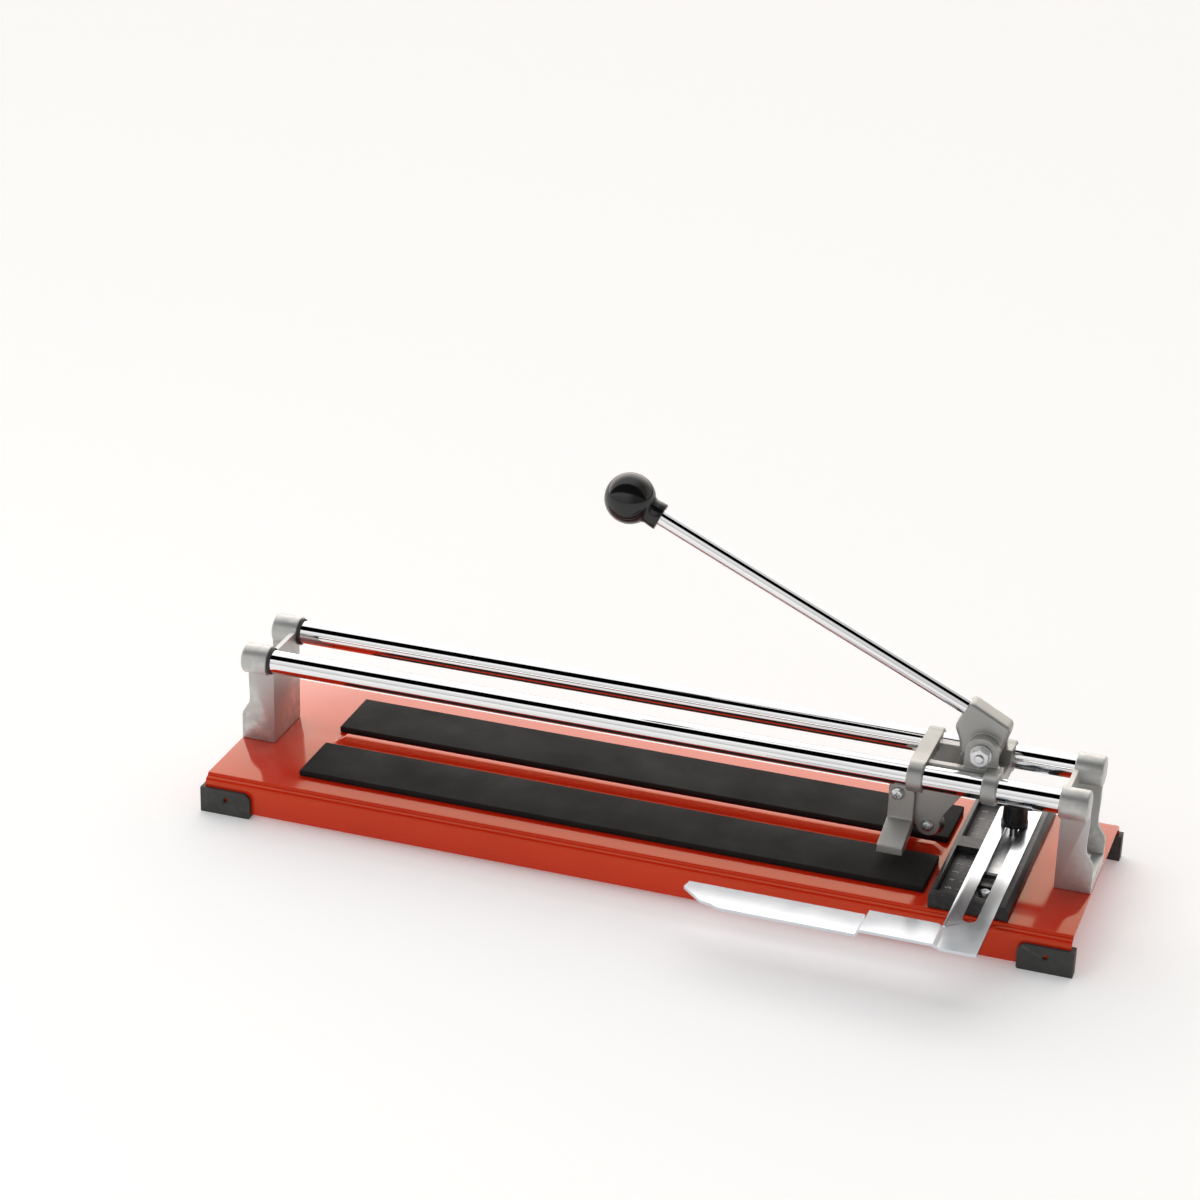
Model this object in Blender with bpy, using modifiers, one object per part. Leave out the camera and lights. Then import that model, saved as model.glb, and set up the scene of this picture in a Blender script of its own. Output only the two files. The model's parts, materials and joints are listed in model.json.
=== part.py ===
"""Tile cutter: a bent steel base on four rubber feet, twin slide tubes, a carriage with a pivoting
cutting lever, a scoring wheel and a breaker foot, and a sliding side stop clamped in a plastic guide.

Every piece is drawn about the cut line, y = 0, and the whole is then moved back so that the origin
lies on the bench under the middle of its outline, the side stop included. +X runs along the cut, +Y to
the back, +Z up. Metres."""

import math

import bpy
from mathutils import Vector

MM = 0.001
GAP = 0.3 * MM
FACETS = 40
SMALL_FACETS = 24

# Base channel
BASE_LENGTH = 540 * MM
BASE_DEPTH = 150 * MM
BASE_TOP = 24 * MM
BASE_DRILL_Z = (18 * MM, 30 * MM)
SHEET = 2 * MM
FLANGE_BOTTOM = 2.5 * MM
FOLD_DEPTH = 4.4 * MM
RIB_START = -214 * MM
RIB_END = 178 * MM
RIB_HEIGHT = 4 * MM
RIB_CREST = 2.4 * MM
RIB_FOOT = 6.6 * MM

# Feet and pads
FOOT_LENGTH = 33 * MM
FOOT_HEIGHT = 16.5 * MM
FOOT_WALL = 2.2 * MM
FOOT_INNER_WALL = 2.6 * MM
FOOT_HOLE = 1.5 * MM
PAD_START = -216 * MM
PAD_END = 178 * MM
PAD_FRONT_Y = (-54.8 * MM, -13.6 * MM)
PAD_BACK_Y = (9.6 * MM, 52.4 * MM)
PAD_TOP = 27.9 * MM

# Slide tubes and end brackets
TUBE_Y = 23.2 * MM
TUBE_Z = 82.7 * MM
TUBE_RADIUS = 7.25 * MM
TUBE_END = 262 * MM
BRACKET_INNER = 248 * MM
BRACKET_OUTER = 265 * MM
BRACKET_FLARE = 269.8 * MM
SOCKET_RADIUS = 9.4 * MM
LEG_Y = 20 * MM
LEG_THICKNESS = 3 * MM
WEB_THICKNESS = 3 * MM
WEB_TOP = 86 * MM
FLOOR_TOP = 32 * MM
BRACKET_SCREW_X = 260 * MM
BRACKET_SCREW_Y = 9 * MM
BUFFER_RADIUS = 8.4 * MM
BUFFER_LENGTH = 1.5 * MM

# Carriage
CARRIAGE_LEFT = (157.8 * MM, 167.4 * MM)
CARRIAGE_RIGHT = (202 * MM, 211.2 * MM)
COLLAR_RADIUS = 9.5 * MM
CROSS_TOP = 91.9 * MM
CROSS_BOTTOM = 84.2 * MM
BAR_Y = (11.2 * MM, 16 * MM)
BAR_Z = (77 * MM, 89 * MM)
LUG_Y = (9.5 * MM, 14.5 * MM)
LUG_RADIUS = 10 * MM

# Lever
PIVOT = Vector((197.8 * MM, 0, 99.2 * MM))
BOSS_HALF = 9.1 * MM
HEAD_HALF = 6.8 * MM
BLADE_HALF = 4.8 * MM
ROD_ANGLE = math.radians(24.9)
ROD_ENTRY = Vector((185.3 * MM, 0, 120.75 * MM))
ROD_RADIUS = 5 * MM
ROD_IN_HEAD = 20 * MM
ROD_REACH = 233 * MM
BALL_RADIUS = 15.4 * MM
NECK_RADIUS = 8.4 * MM
PIVOT_BOLT_RADIUS = 3 * MM
BOSS_RADIUS = 9.6 * MM
WASHER_RADIUS = 6.4 * MM
HEX_ACROSS = 10 * MM
CROSS_REACH = 30 * MM

# Scoring wheel and breaker foot
WHEEL_AXLE = Vector((167.5 * MM, 0, 42 * MM))
WHEEL_RADIUS = 9.3 * MM
WHEEL_HALF = 1.3 * MM
WHEEL_SLOT = 1.9 * MM
BREAKER_PIVOT = Vector((149.3 * MM, 0, 61.7 * MM))
BREAKER_X = (143.7 * MM, 159.2 * MM)
BREAKER_REACH = 32.6 * MM
CHEEK_INNER = 5.3 * MM
CHEEK_OUTER = 9.2 * MM
SCREW_RADIUS = 2 * MM

# Guide and side stop
GUIDE_X = (184 * MM, 231.6 * MM)
GUIDE_HALF_Y = 70 * MM
GUIDE_TOP = 33 * MM
GUIDE_FLOOR = 26.5 * MM
TRAY_X = (186.8 * MM, 203 * MM)
WINDOW_Y = (6.5 * MM, 63.4 * MM)
CHANNEL_X = (207.6 * MM, 219.4 * MM)
STRIP_TOP = 28.3 * MM
ARM_CENTRE_X = 213.5 * MM
ARM_HALF = 12.6 * MM
ARM_SLOT_HALF = 4.1 * MM
ARM_BOTTOM = 33.3 * MM
ARM_TOP = 35.1 * MM
ARM_FRONT = -131 * MM
ARM_BACK = 48 * MM
SLOT_END = -93 * MM
LINK_LEFT = 158.5 * MM
LINK_Y = (-130 * MM, -106.4 * MM)
FENCE_LEFT = 51.5 * MM
FENCE_DROP = 2 * MM
CLAMP_Y = 28.5 * MM
GUIDE_SCREW_Y = 50.4 * MM
GUIDE_SCREW_RADIUS = 1.8 * MM
GUIDE_DRILL_Z = (20 * MM, 30 * MM)
CHANNEL_RIBS_Y = (-30.6 * MM, -44.7 * MM)
CLAMP_BOLT_RADIUS = 2.5 * MM
CLAMP_HEX_ACROSS = 8 * MM
KNOB_BOTTOM_RADIUS = 8.2 * MM
KNOB_TOP_RADIUS = 7.2 * MM
KNOB_HEIGHT = 15 * MM

# The outline reaches from the arm's front edge to the back feet
CENTRE_SHIFT = -(ARM_FRONT + BASE_DEPTH / 2 + GAP + FOOT_WALL) / 2

STAND_XZ = (math.pi / 2, 0, 0)
STAND_YZ = (math.pi / 2, 0, math.pi / 2)


def clear_file():
    for obj in list(bpy.data.objects):
        bpy.data.objects.remove(obj)


def make_collection(name, hidden):
    group = bpy.data.collections.new(name)
    group.hide_render = hidden
    bpy.context.scene.collection.children.link(group)
    return group


def make_material(name, colour, roughness, metallic):
    material = bpy.data.materials.new(name)
    material.use_nodes = True
    shader = material.node_tree.nodes["Principled BSDF"]
    shader.inputs["Base Color"].default_value = (*colour, 1)
    shader.inputs["Roughness"].default_value = roughness
    shader.inputs["Metallic"].default_value = metallic
    material.diffuse_color = (*colour, 1)
    return material


def link(obj, group):
    for owner in list(obj.users_collection):
        owner.objects.unlink(obj)
    group.objects.link(obj)
    return obj


def finish(obj, material):
    """Puts a finished piece among the parts, in its own material."""
    link(obj, PARTS)
    obj.data.materials.clear()
    obj.data.materials.append(material)
    return obj


def as_tool(obj):
    """Marks an object as a shape that only cuts or joins others."""
    link(obj, TOOLS)
    obj.hide_render = True
    obj.display_type = "WIRE"
    return obj


def to_mesh(obj):
    """Turns a curve object into a mesh object with the same name and place."""
    place = obj.matrix_world.copy()
    name = obj.name
    bpy.context.view_layer.update()
    mesh = bpy.data.meshes.new_from_object(obj.evaluated_get(bpy.context.evaluated_depsgraph_get()))
    curve = obj.data
    bpy.data.objects.remove(obj)
    bpy.data.curves.remove(curve)
    made = bpy.data.objects.new(name, mesh)
    mesh.name = name
    bpy.context.scene.collection.objects.link(made)
    made.matrix_world = place
    select_only(made)
    bpy.ops.object.mode_set(mode="EDIT")
    bpy.ops.mesh.select_all(action="SELECT")
    bpy.ops.mesh.remove_doubles(threshold=0.00001)
    bpy.ops.object.mode_set(mode="OBJECT")
    return made


def select_only(obj):
    for other in bpy.context.selected_objects:
        other.select_set(False)
    obj.select_set(True)
    bpy.context.view_layer.objects.active = obj


def outline(name, points, half_thickness, location, rotation=(0, 0, 0)):
    """A flat sheet of the given outline, extruded evenly both ways from its own plane."""
    curve = bpy.data.curves.new(name, "CURVE")
    curve.dimensions = "2D"
    curve.fill_mode = "BOTH"
    curve.extrude = half_thickness
    spline = curve.splines.new("POLY")
    spline.points.add(len(points) - 1)
    for corner, (across, up) in zip(spline.points, points):
        corner.co = (across, up, 0, 1)
    spline.use_cyclic_u = True
    obj = bpy.data.objects.new(name, curve)
    obj.location = location
    obj.rotation_euler = rotation
    bpy.context.scene.collection.objects.link(obj)
    bpy.context.view_layer.update()
    return to_mesh(obj)


def box(name, x, y, z, origin=(0, 0, 0)):
    """A block between pairs of limits, with its origin where asked."""
    middle = Vector(((x[0] + x[1]) / 2, (y[0] + y[1]) / 2, (z[0] + z[1]) / 2))
    bpy.ops.mesh.primitive_cube_add(size=1, location=middle)
    obj = bpy.context.object
    obj.name = name
    obj.scale = (x[1] - x[0], y[1] - y[0], z[1] - z[0])
    bpy.ops.object.transform_apply(location=True, rotation=False, scale=True)
    set_origin(obj, origin)
    return obj


def set_origin(obj, origin):
    for vertex in obj.data.vertices:
        vertex.co -= Vector(origin)
    obj.location = origin


def rod(name, radius, start, end, facets=FACETS):
    """A straight round bar between two points."""
    start = Vector(start)
    run = Vector(end) - start
    bpy.ops.mesh.primitive_cylinder_add(
        vertices=facets,
        radius=radius,
        depth=run.length,
        location=start + run / 2,
        rotation=run.to_track_quat("Z", "Y").to_euler(),
    )
    obj = bpy.context.object
    obj.name = name
    bpy.ops.object.shade_smooth()
    obj.data.set_sharp_from_angle(angle=math.radians(35))
    return obj


def boolean(obj, tool, operation):
    modifier = obj.modifiers.new(f"{operation.lower()} {tool.name}", "BOOLEAN")
    modifier.operation = operation
    modifier.solver = "EXACT"
    modifier.object = as_tool(tool)


def join_with(obj, *tools):
    for tool in tools:
        boolean(obj, tool, "UNION")


def cut(obj, *tools):
    for tool in tools:
        boolean(obj, tool, "DIFFERENCE")


def drill(obj, radius, x, y, z):
    """Bores an upright hole between two heights."""
    cut(obj, rod("drilled hole", radius, (x, y, z[0]), (x, y, z[1]), SMALL_FACETS))


def cross_drill(obj, radius, centre):
    """Bores a hole right through along Y."""
    reach = Vector((0, CROSS_REACH, 0))
    cut(obj, rod("cross hole", radius, centre - reach, centre + reach, SMALL_FACETS))


def hexagon(across):
    """Corners of a hexagon of the given width across flats."""
    radius = across / math.sqrt(3)
    return [(radius * math.cos(math.radians(60 * i)), radius * math.sin(math.radians(60 * i))) for i in range(6)]


def bevel(obj, width, segments=2, angle=40):
    modifier = obj.modifiers.new("eased edges", "BEVEL")
    modifier.width = width
    modifier.segments = segments
    modifier.limit_method = "ANGLE"
    modifier.angle_limit = math.radians(angle)
    return modifier


def turned(name, profile, location, rotation, facets=FACETS):
    """A piece turned on a lathe: the profile, top to bottom on its outer side, goes once round Z."""
    mesh = bpy.data.meshes.new(name)
    points = [(radius, 0, height) for radius, height in profile]
    mesh.from_pydata(points, [(i, i + 1) for i in range(len(points) - 1)], [])
    obj = bpy.data.objects.new(name, mesh)
    obj.location = location
    obj.rotation_euler = rotation
    bpy.context.scene.collection.objects.link(obj)
    modifier = obj.modifiers.new("turned", "SCREW")
    modifier.steps = facets
    modifier.render_steps = facets
    modifier.use_merge_vertices = True
    modifier.merge_threshold = 0.00001
    modifier.use_smooth_shade = True
    return obj


def arc(centre, radius, start, end, steps):
    """Points along an arc, angles in degrees."""
    points = []
    for step in range(steps + 1):
        angle = math.radians(start + (end - start) * step / steps)
        points.append((centre[0] + radius * math.cos(angle), centre[1] + radius * math.sin(angle)))
    return points


def shifted(points, origin):
    """Side-view points given in world X and Z, made relative to an origin."""
    return [(x * MM - origin[0], z * MM - origin[2]) for x, z in points]


def make_base():
    half = BASE_DEPTH / 2
    fold = half - FOLD_DEPTH
    side = [
        (fold, BASE_TOP),
        (fold + 1 * MM, BASE_TOP - 1.7 * MM),
        (fold + 2.6 * MM, BASE_TOP - 2.3 * MM),
        (half - 0.5 * MM, BASE_TOP - 3.6 * MM),
        (half, BASE_TOP - 5.2 * MM),
        (half, FLANGE_BOTTOM),
    ]
    inner = [
        (half - SHEET, FLANGE_BOTTOM),
        (half - SHEET, BASE_TOP - 5.2 * MM),
        (fold + 1.9 * MM, BASE_TOP - 4.2 * MM),
        (fold + 0.2 * MM, BASE_TOP - 3.7 * MM),
        (fold - 1.2 * MM, BASE_TOP - SHEET),
    ]
    right_half = side + inner
    left_half = [(-y, z) for y, z in reversed(right_half)]
    base = outline("base_plate", right_half + left_half, BASE_LENGTH / 2, (0, 0, 0), STAND_YZ)
    rib_half = (RIB_END - RIB_START) / 2
    taper = RIB_HEIGHT * 1.6
    foot = (rib_half, RIB_FOOT, BASE_TOP - 0.4 * MM)
    crest = (rib_half - taper, RIB_CREST, BASE_TOP + RIB_HEIGHT)
    join_with(base, tapered_block("rib outside", foot, crest))
    wall = SHEET * 0.45
    mouth = (rib_half - 1.5 * MM, RIB_FOOT + 2.25 * MM, BASE_TOP - SHEET - 1 * MM)
    roof = (rib_half - 1.5 * MM - taper, RIB_CREST - wall, BASE_TOP + RIB_HEIGHT - SHEET)
    cut(base, tapered_block("rib inside", mouth, roof))
    for x in (-BRACKET_SCREW_X, BRACKET_SCREW_X):
        for y in (-BRACKET_SCREW_Y, BRACKET_SCREW_Y):
            drill(base, SCREW_RADIUS + GAP, x, y, BASE_DRILL_Z)
    for y in (-GUIDE_SCREW_Y, GUIDE_SCREW_Y):
        drill(base, GUIDE_SCREW_RADIUS + GAP, ARM_CENTRE_X, y, BASE_DRILL_Z)
    drill(base, CLAMP_BOLT_RADIUS + GAP, ARM_CENTRE_X, CLAMP_Y, BASE_DRILL_Z)
    return finish(base, RED_PAINT)


def tapered_block(name, lower, upper):
    """A block along the rib: its lower and upper ends each give half length, half width and height."""
    middle = ((RIB_START + RIB_END) / 2, 0, (lower[2] + upper[2]) / 2)
    bpy.ops.mesh.primitive_cube_add(size=1, location=middle)
    obj = bpy.context.object
    obj.name = name
    for vertex in obj.data.vertices:
        along, across, height = upper if vertex.co.z > 0 else lower
        vertex.co.x = math.copysign(along, vertex.co.x)
        vertex.co.y = math.copysign(across, vertex.co.y)
        vertex.co.z = height - middle[2]
    return obj


def make_foot(name, side_x, side_y):
    """A corner foot: wraps the flange end, outside, inside and below."""
    end_x = BASE_LENGTH / 2 + GAP + FOOT_WALL
    start_x = end_x - FOOT_LENGTH
    outer_y = BASE_DEPTH / 2 + GAP + FOOT_WALL
    inner_y = BASE_DEPTH / 2 - SHEET - GAP - FOOT_INNER_WALL
    corner = 5 * MM
    points = [(end_x, 0), (end_x, FOOT_HEIGHT)]
    points += arc((start_x + corner, FOOT_HEIGHT - corner), corner, 90, 180, 6)
    points += arc((start_x + 1.5 * MM, 1.5 * MM), 1.5 * MM, 180, 270, 3)
    points = [(side_x * x, z) for x, z in points]
    if side_x < 0:
        points.reverse()
    middle_y = side_y * (outer_y + inner_y) / 2
    foot = outline(name, points, (outer_y - inner_y) / 2, (0, middle_y, 0), STAND_XZ)
    slot_y = sorted((side_y * (BASE_DEPTH / 2 + GAP), side_y * (BASE_DEPTH / 2 - SHEET - GAP)))
    slot_x = sorted((side_x * (BASE_LENGTH / 2 + GAP), side_x * (start_x - 5 * MM)))
    cut(foot, box(name + " slot", slot_x, slot_y, (FLANGE_BOTTOM - GAP, FOOT_HEIGHT + 5 * MM)))
    hole_x = side_x * (start_x + FOOT_LENGTH / 2)
    near = (hole_x, side_y * (BASE_DEPTH / 2 - 0.2 * MM), FOOT_HEIGHT * 0.6)
    far = (hole_x, side_y * (outer_y + 2 * MM), FOOT_HEIGHT * 0.6)
    cut(foot, rod(name + " hole", FOOT_HOLE, near, far, SMALL_FACETS))
    return finish(foot, BLACK_RUBBER)


def make_pad(name, y):
    pad = box(name, (PAD_START, PAD_END), y, (BASE_TOP + GAP, PAD_TOP), (0, (y[0] + y[1]) / 2, PAD_TOP))
    bevel(pad, 0.6 * MM)
    return finish(pad, PAD_RUBBER)


def make_bracket(name, side):
    """A cast end bracket: two sockets, two flared legs, an inner web and a screwed floor."""
    inner = BRACKET_INNER
    points = [
        (inner, BASE_TOP + GAP),
        (BRACKET_FLARE, BASE_TOP + GAP),
        (BRACKET_FLARE, 40 * MM),
        (BRACKET_FLARE - 0.9 * MM, 43.5 * MM),
        (BRACKET_OUTER - 0.1 * MM, 50 * MM),
        (BRACKET_OUTER - 0.5 * MM, 54 * MM),
        (BRACKET_OUTER, 66 * MM),
        (BRACKET_OUTER, TUBE_Z),
        (inner, TUBE_Z),
    ]
    points = [(side * x, z) for x, z in points]
    if side < 0:
        points.reverse()
    body = outline(name, points, LEG_Y, (0, 0, 0), STAND_XZ)
    hollow_x = sorted((side * (inner + WEB_THICKNESS), side * (BRACKET_FLARE + 5 * MM)))
    inside = LEG_Y - LEG_THICKNESS
    cut(body, box(name + " hollow", hollow_x, (-inside, inside), (FLOOR_TOP, TUBE_Z + 5 * MM)))
    web_x = sorted((side * inner, side * (inner + WEB_THICKNESS)))
    join_with(body, box(name + " web top", web_x, (-LEG_Y, LEG_Y), (TUBE_Z - 8 * MM, WEB_TOP)))
    for y in (-TUBE_Y, TUBE_Y):
        start = (side * inner, y, TUBE_Z)
        end = (side * BRACKET_OUTER, y, TUBE_Z)
        join_with(body, rod(name + " socket", SOCKET_RADIUS, start, end))
    for y in (-TUBE_Y, TUBE_Y):
        start = (side * (inner - 3 * MM), y, TUBE_Z)
        end = (side * (TUBE_END + GAP), y, TUBE_Z)
        cut(body, rod(name + " bore", TUBE_RADIUS + GAP, start, end))
    for y in (-BRACKET_SCREW_Y, BRACKET_SCREW_Y):
        drill(body, SCREW_RADIUS + GAP, side * BRACKET_SCREW_X, y, (BASE_TOP - 4 * MM, FLOOR_TOP + 8 * MM))
    return finish(body, CAST_ALUMINIUM)


def make_bracket_screw(name, x, y):
    seat = FLOOR_TOP + GAP
    profile = [(0, 3 * MM), (2.6 * MM, 2.8 * MM), (3.8 * MM, 1.6 * MM), (3.8 * MM, 0)]
    profile += [(SCREW_RADIUS, 0), (SCREW_RADIUS, -14 * MM), (0, -14 * MM)]
    return finish(turned(name, profile, (x, y, seat), (0, 0, 0), SMALL_FACETS), ZINC)


def make_tube(name, y):
    tube = rod(name, TUBE_RADIUS, (-TUBE_END, y, TUBE_Z), (TUBE_END, y, TUBE_Z), 48)
    return finish(tube, CHROME)


def make_buffer(name, y):
    """A thin rubber ring on the tube, against the left socket."""
    start = -BRACKET_INNER + GAP
    end = start + BUFFER_LENGTH
    ring = rod(name, BUFFER_RADIUS, (start, y, TUBE_Z), (end, y, TUBE_Z))
    reach = 2 * MM
    cut(ring, rod(name + " bore", TUBE_RADIUS + GAP, (start - reach, y, TUBE_Z), (end + reach, y, TUBE_Z)))
    return finish(ring, BLACK_RUBBER)


def make_carriage():
    """The sliding frame: four collars, two cross members, two side bars and two pivot lugs."""
    middle = (CARRIAGE_LEFT[0] + CARRIAGE_RIGHT[1]) / 2
    origin = (middle, 0, TUBE_Z)
    frame = box("carriage", CARRIAGE_LEFT, (-TUBE_Y, TUBE_Y), (CROSS_BOTTOM, CROSS_TOP), origin)
    join_with(frame, box("right member", CARRIAGE_RIGHT, (-TUBE_Y, TUBE_Y), (76 * MM, CROSS_TOP)))
    for limits in (CARRIAGE_LEFT, CARRIAGE_RIGHT):
        for y in (-TUBE_Y, TUBE_Y):
            start = (limits[0], y, TUBE_Z)
            end = (limits[1], y, TUBE_Z)
            join_with(frame, rod("collar", COLLAR_RADIUS, start, end))
    for sign in (-1, 1):
        bar_y = sorted((sign * BAR_Y[0], sign * BAR_Y[1]))
        bar_x = (CARRIAGE_LEFT[0] + 2 * MM, CARRIAGE_RIGHT[1] - 2 * MM)
        join_with(frame, box("side bar", bar_x, bar_y, BAR_Z))
        join_with(frame, lug_shape(sign))
    clear_right = (CARRIAGE_RIGHT[0] - 5 * MM, CARRIAGE_RIGHT[1] + 5 * MM)
    cut(frame, box("lever room", clear_right, (-BAR_Y[0], BAR_Y[0]), (83.6 * MM, CROSS_TOP + 5 * MM)))
    for y in (-TUBE_Y, TUBE_Y):
        start = (CARRIAGE_LEFT[0] - 5 * MM, y, TUBE_Z)
        end = (CARRIAGE_RIGHT[1] + 5 * MM, y, TUBE_Z)
        cut(frame, rod("slide bore", TUBE_RADIUS + GAP, start, end))
    cross_drill(frame, PIVOT_BOLT_RADIUS + GAP, PIVOT)
    return finish(frame, CAST_GREY)


def lug_shape(sign):
    """One pivot lug: a round eye that spreads into the side bar and the right-hand collar."""
    eye = arc((PIVOT.x, PIVOT.z), LUG_RADIUS, 12, 180, 14)
    base = [(PIVOT.x - 10 * MM, 86 * MM), (PIVOT.x - 13 * MM, 80 * MM), (CARRIAGE_RIGHT[1] - 1 * MM, 80 * MM)]
    base += [(CARRIAGE_RIGHT[1] - 1 * MM, 88 * MM), (CARRIAGE_RIGHT[1] - 3.5 * MM, 93 * MM)]
    y = sign * (LUG_Y[0] + LUG_Y[1]) / 2
    return outline("lug", eye + base, (LUG_Y[1] - LUG_Y[0]) / 2, (0, y, 0), STAND_XZ)


def make_lever_head():
    """The lever casting: rod socket and head above the pivot, boss, and the blade plate below it."""
    head = [
        (187.3, 127.4),
        (178.9, 110.1),
        (182.4, 101),
        (183, 93),
        (206.2, 94),
        (207.2, 98.5),
        (211.2, 108.5),
        (212.2, 114.4),
    ]
    lever = outline("lever_head", shifted(head, PIVOT), HEAD_HALF, PIVOT, STAND_XZ)
    bevel(lever, 2.6 * MM, 3, 30)
    start = PIVOT - Vector((0, BOSS_HALF, 0))
    end = PIVOT + Vector((0, BOSS_HALF, 0))
    join_with(lever, rod("boss", BOSS_RADIUS, start, end))
    blade = [(205, 92), (198.5, 79), (185.4, 63.5), (176.6, 50)]
    blade += [(x / MM, z / MM) for x, z in arc((WHEEL_AXLE.x, WHEEL_AXLE.z), 7.2 * MM, 20, -160, 10)]
    blade += [(157.5, 50), (153, 55.2)]
    blade += [(x / MM, z / MM) for x, z in arc((BREAKER_PIVOT.x, BREAKER_PIVOT.z), 6.8 * MM, 290, 100, 12)]
    blade += [(160, 68.5), (171, 72.5), (180, 81), (184, 93)]
    join_with(lever, outline("blade", shifted(blade, (0, 0, 0)), BLADE_HALF, (0, 0, 0), STAND_XZ))
    back = Vector((-math.cos(ROD_ANGLE), 0, math.sin(ROD_ANGLE)))
    bottom = ROD_ENTRY - back * ROD_IN_HEAD
    cut(lever, rod("rod socket", ROD_RADIUS + GAP, bottom - back * GAP, ROD_ENTRY + back * 12 * MM))
    for centre, radius in ((PIVOT, PIVOT_BOLT_RADIUS), (WHEEL_AXLE, SCREW_RADIUS), (BREAKER_PIVOT, SCREW_RADIUS)):
        cross_drill(lever, radius + GAP, centre)
    side = Vector((0, WHEEL_SLOT, 0))
    cut(lever, rod("wheel room", WHEEL_RADIUS + 0.9 * MM, WHEEL_AXLE - side, WHEEL_AXLE + side))
    return finish(lever, CAST_GREY)


def make_handle():
    back = Vector((-math.cos(ROD_ANGLE), 0, math.sin(ROD_ANGLE)))
    bottom = ROD_ENTRY - back * ROD_IN_HEAD
    ball = ROD_ENTRY + back * ROD_REACH
    tip = ball + back * 4 * MM
    bar = rod("handle_rod", ROD_RADIUS, bottom, tip, 32)
    finish(bar, CHROME)
    neck_end = 21.5 * MM
    profile = []
    for step in range(15):
        angle = math.radians(90 - step * 9)
        profile.append((BALL_RADIUS * math.cos(angle), BALL_RADIUS * math.sin(angle)))
    neck_start = profile[-1][1]
    profile += [(NECK_RADIUS - 0.6 * MM, neck_start - 2.2 * MM), (NECK_RADIUS - 0.3 * MM, -16 * MM)]
    profile += [(NECK_RADIUS, -neck_end), (ROD_RADIUS + GAP, -neck_end)]
    profile += [(ROD_RADIUS + GAP, 4.3 * MM), (0, 4.3 * MM)]
    rotation = back.to_track_quat("Z", "Y").to_euler()
    knob = turned("ball_knob", profile, ball, rotation, 36)
    finish(knob, BLACK_GLOSS)


def make_hex(name, across, y0, y1, centre, bore):
    """A hexagon nut or bolt head lying along Y."""
    place = (centre.x, (y0 + y1) / 2, centre.z)
    piece = outline(name, hexagon(across), abs(y1 - y0) / 2, place, STAND_XZ)
    if bore:
        cross_drill(piece, bore, centre)
    return piece


def make_pivot_set():
    outer = LUG_Y[1] + GAP
    washer_out = outer + 1.2 * MM
    start = (PIVOT.x, -outer, PIVOT.z)
    washer = rod("pivot_washer", WASHER_RADIUS, start, (PIVOT.x, -washer_out, PIVOT.z), 32)
    cross_drill(washer, PIVOT_BOLT_RADIUS + GAP, PIVOT)
    finish(washer, ZINC)
    nut_in = washer_out + GAP
    nut_out = nut_in + 4.6 * MM
    nut = make_hex("pivot_nut", HEX_ACROSS, -nut_out, -nut_in, PIVOT, PIVOT_BOLT_RADIUS + GAP)
    finish(nut, ZINC)
    bolt = make_hex("pivot_bolt", HEX_ACROSS, outer, outer + 4 * MM, PIVOT, None)
    start = (PIVOT.x, outer + 1 * MM, PIVOT.z)
    end = (PIVOT.x, -nut_out - 1.2 * MM, PIVOT.z)
    join_with(bolt, rod("bolt shank", PIVOT_BOLT_RADIUS, start, end, SMALL_FACETS))
    finish(bolt, ZINC)


def make_wheel():
    tip = WHEEL_RADIUS
    flat = WHEEL_RADIUS - 2.2 * MM
    bore = SCREW_RADIUS + GAP
    profile = [(bore, WHEEL_HALF), (flat, WHEEL_HALF), (tip, 0.12 * MM), (tip, -0.12 * MM), (flat, -WHEEL_HALF)]
    profile += [(bore, -WHEEL_HALF), (bore, WHEEL_HALF)]
    wheel = turned("cutting_wheel", profile, WHEEL_AXLE, STAND_XZ, FACETS)
    return finish(wheel, TOOL_STEEL)


def make_cross_screw(name, centre, head_y, tail_y):
    """A round-headed screw lying along Y, head to the front."""
    head = 3.1 * MM
    profile = [(0, head), (2.7 * MM, head - 0.3 * MM), (3.8 * MM, head - 1.6 * MM), (3.8 * MM, 0)]
    profile += [(SCREW_RADIUS, 0), (SCREW_RADIUS, -(head_y + tail_y)), (0, -(head_y + tail_y))]
    place = (centre.x, -head_y, centre.z)
    return finish(turned(name, profile, place, STAND_XZ, SMALL_FACETS), ZINC)


def make_breaker_foot():
    """The swinging foot: two cheeks beside the blade, a bridge between them and two broad wings."""
    half = [
        (BREAKER_REACH, 33.2),
        (BREAKER_REACH, 38.2),
        (CHEEK_OUTER, 45.2),
        (CHEEK_OUTER, 67.6),
        (CHEEK_INNER, 67.6),
        (CHEEK_INNER, 52.2),
    ]
    right = [(y, z * MM - BREAKER_PIVOT.z) for y, z in half]
    under = [(-5 * MM, 38.5 * MM - BREAKER_PIVOT.z), (5 * MM, 38.5 * MM - BREAKER_PIVOT.z)]
    under += [(22 * MM, 33.2 * MM - BREAKER_PIVOT.z)]
    points = under + right + [(-y, z) for y, z in reversed(right)] + [(-22 * MM, 33.2 * MM - BREAKER_PIVOT.z)]
    middle = (BREAKER_X[0] + BREAKER_X[1]) / 2
    foot = outline("breaker_foot", points, (BREAKER_X[1] - BREAKER_X[0]) / 2, (middle, 0, BREAKER_PIVOT.z), STAND_YZ)
    move_origin(foot, BREAKER_PIVOT)
    room_x = (BREAKER_X[0] + 6 * MM, BREAKER_X[1] + 5 * MM)
    cut(foot, box("wheel notch", room_x, (-CHEEK_INNER, CHEEK_INNER), (30 * MM, 60 * MM)))
    cross_drill(foot, SCREW_RADIUS + GAP, BREAKER_PIVOT)
    return finish(foot, CAST_GREY)


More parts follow.
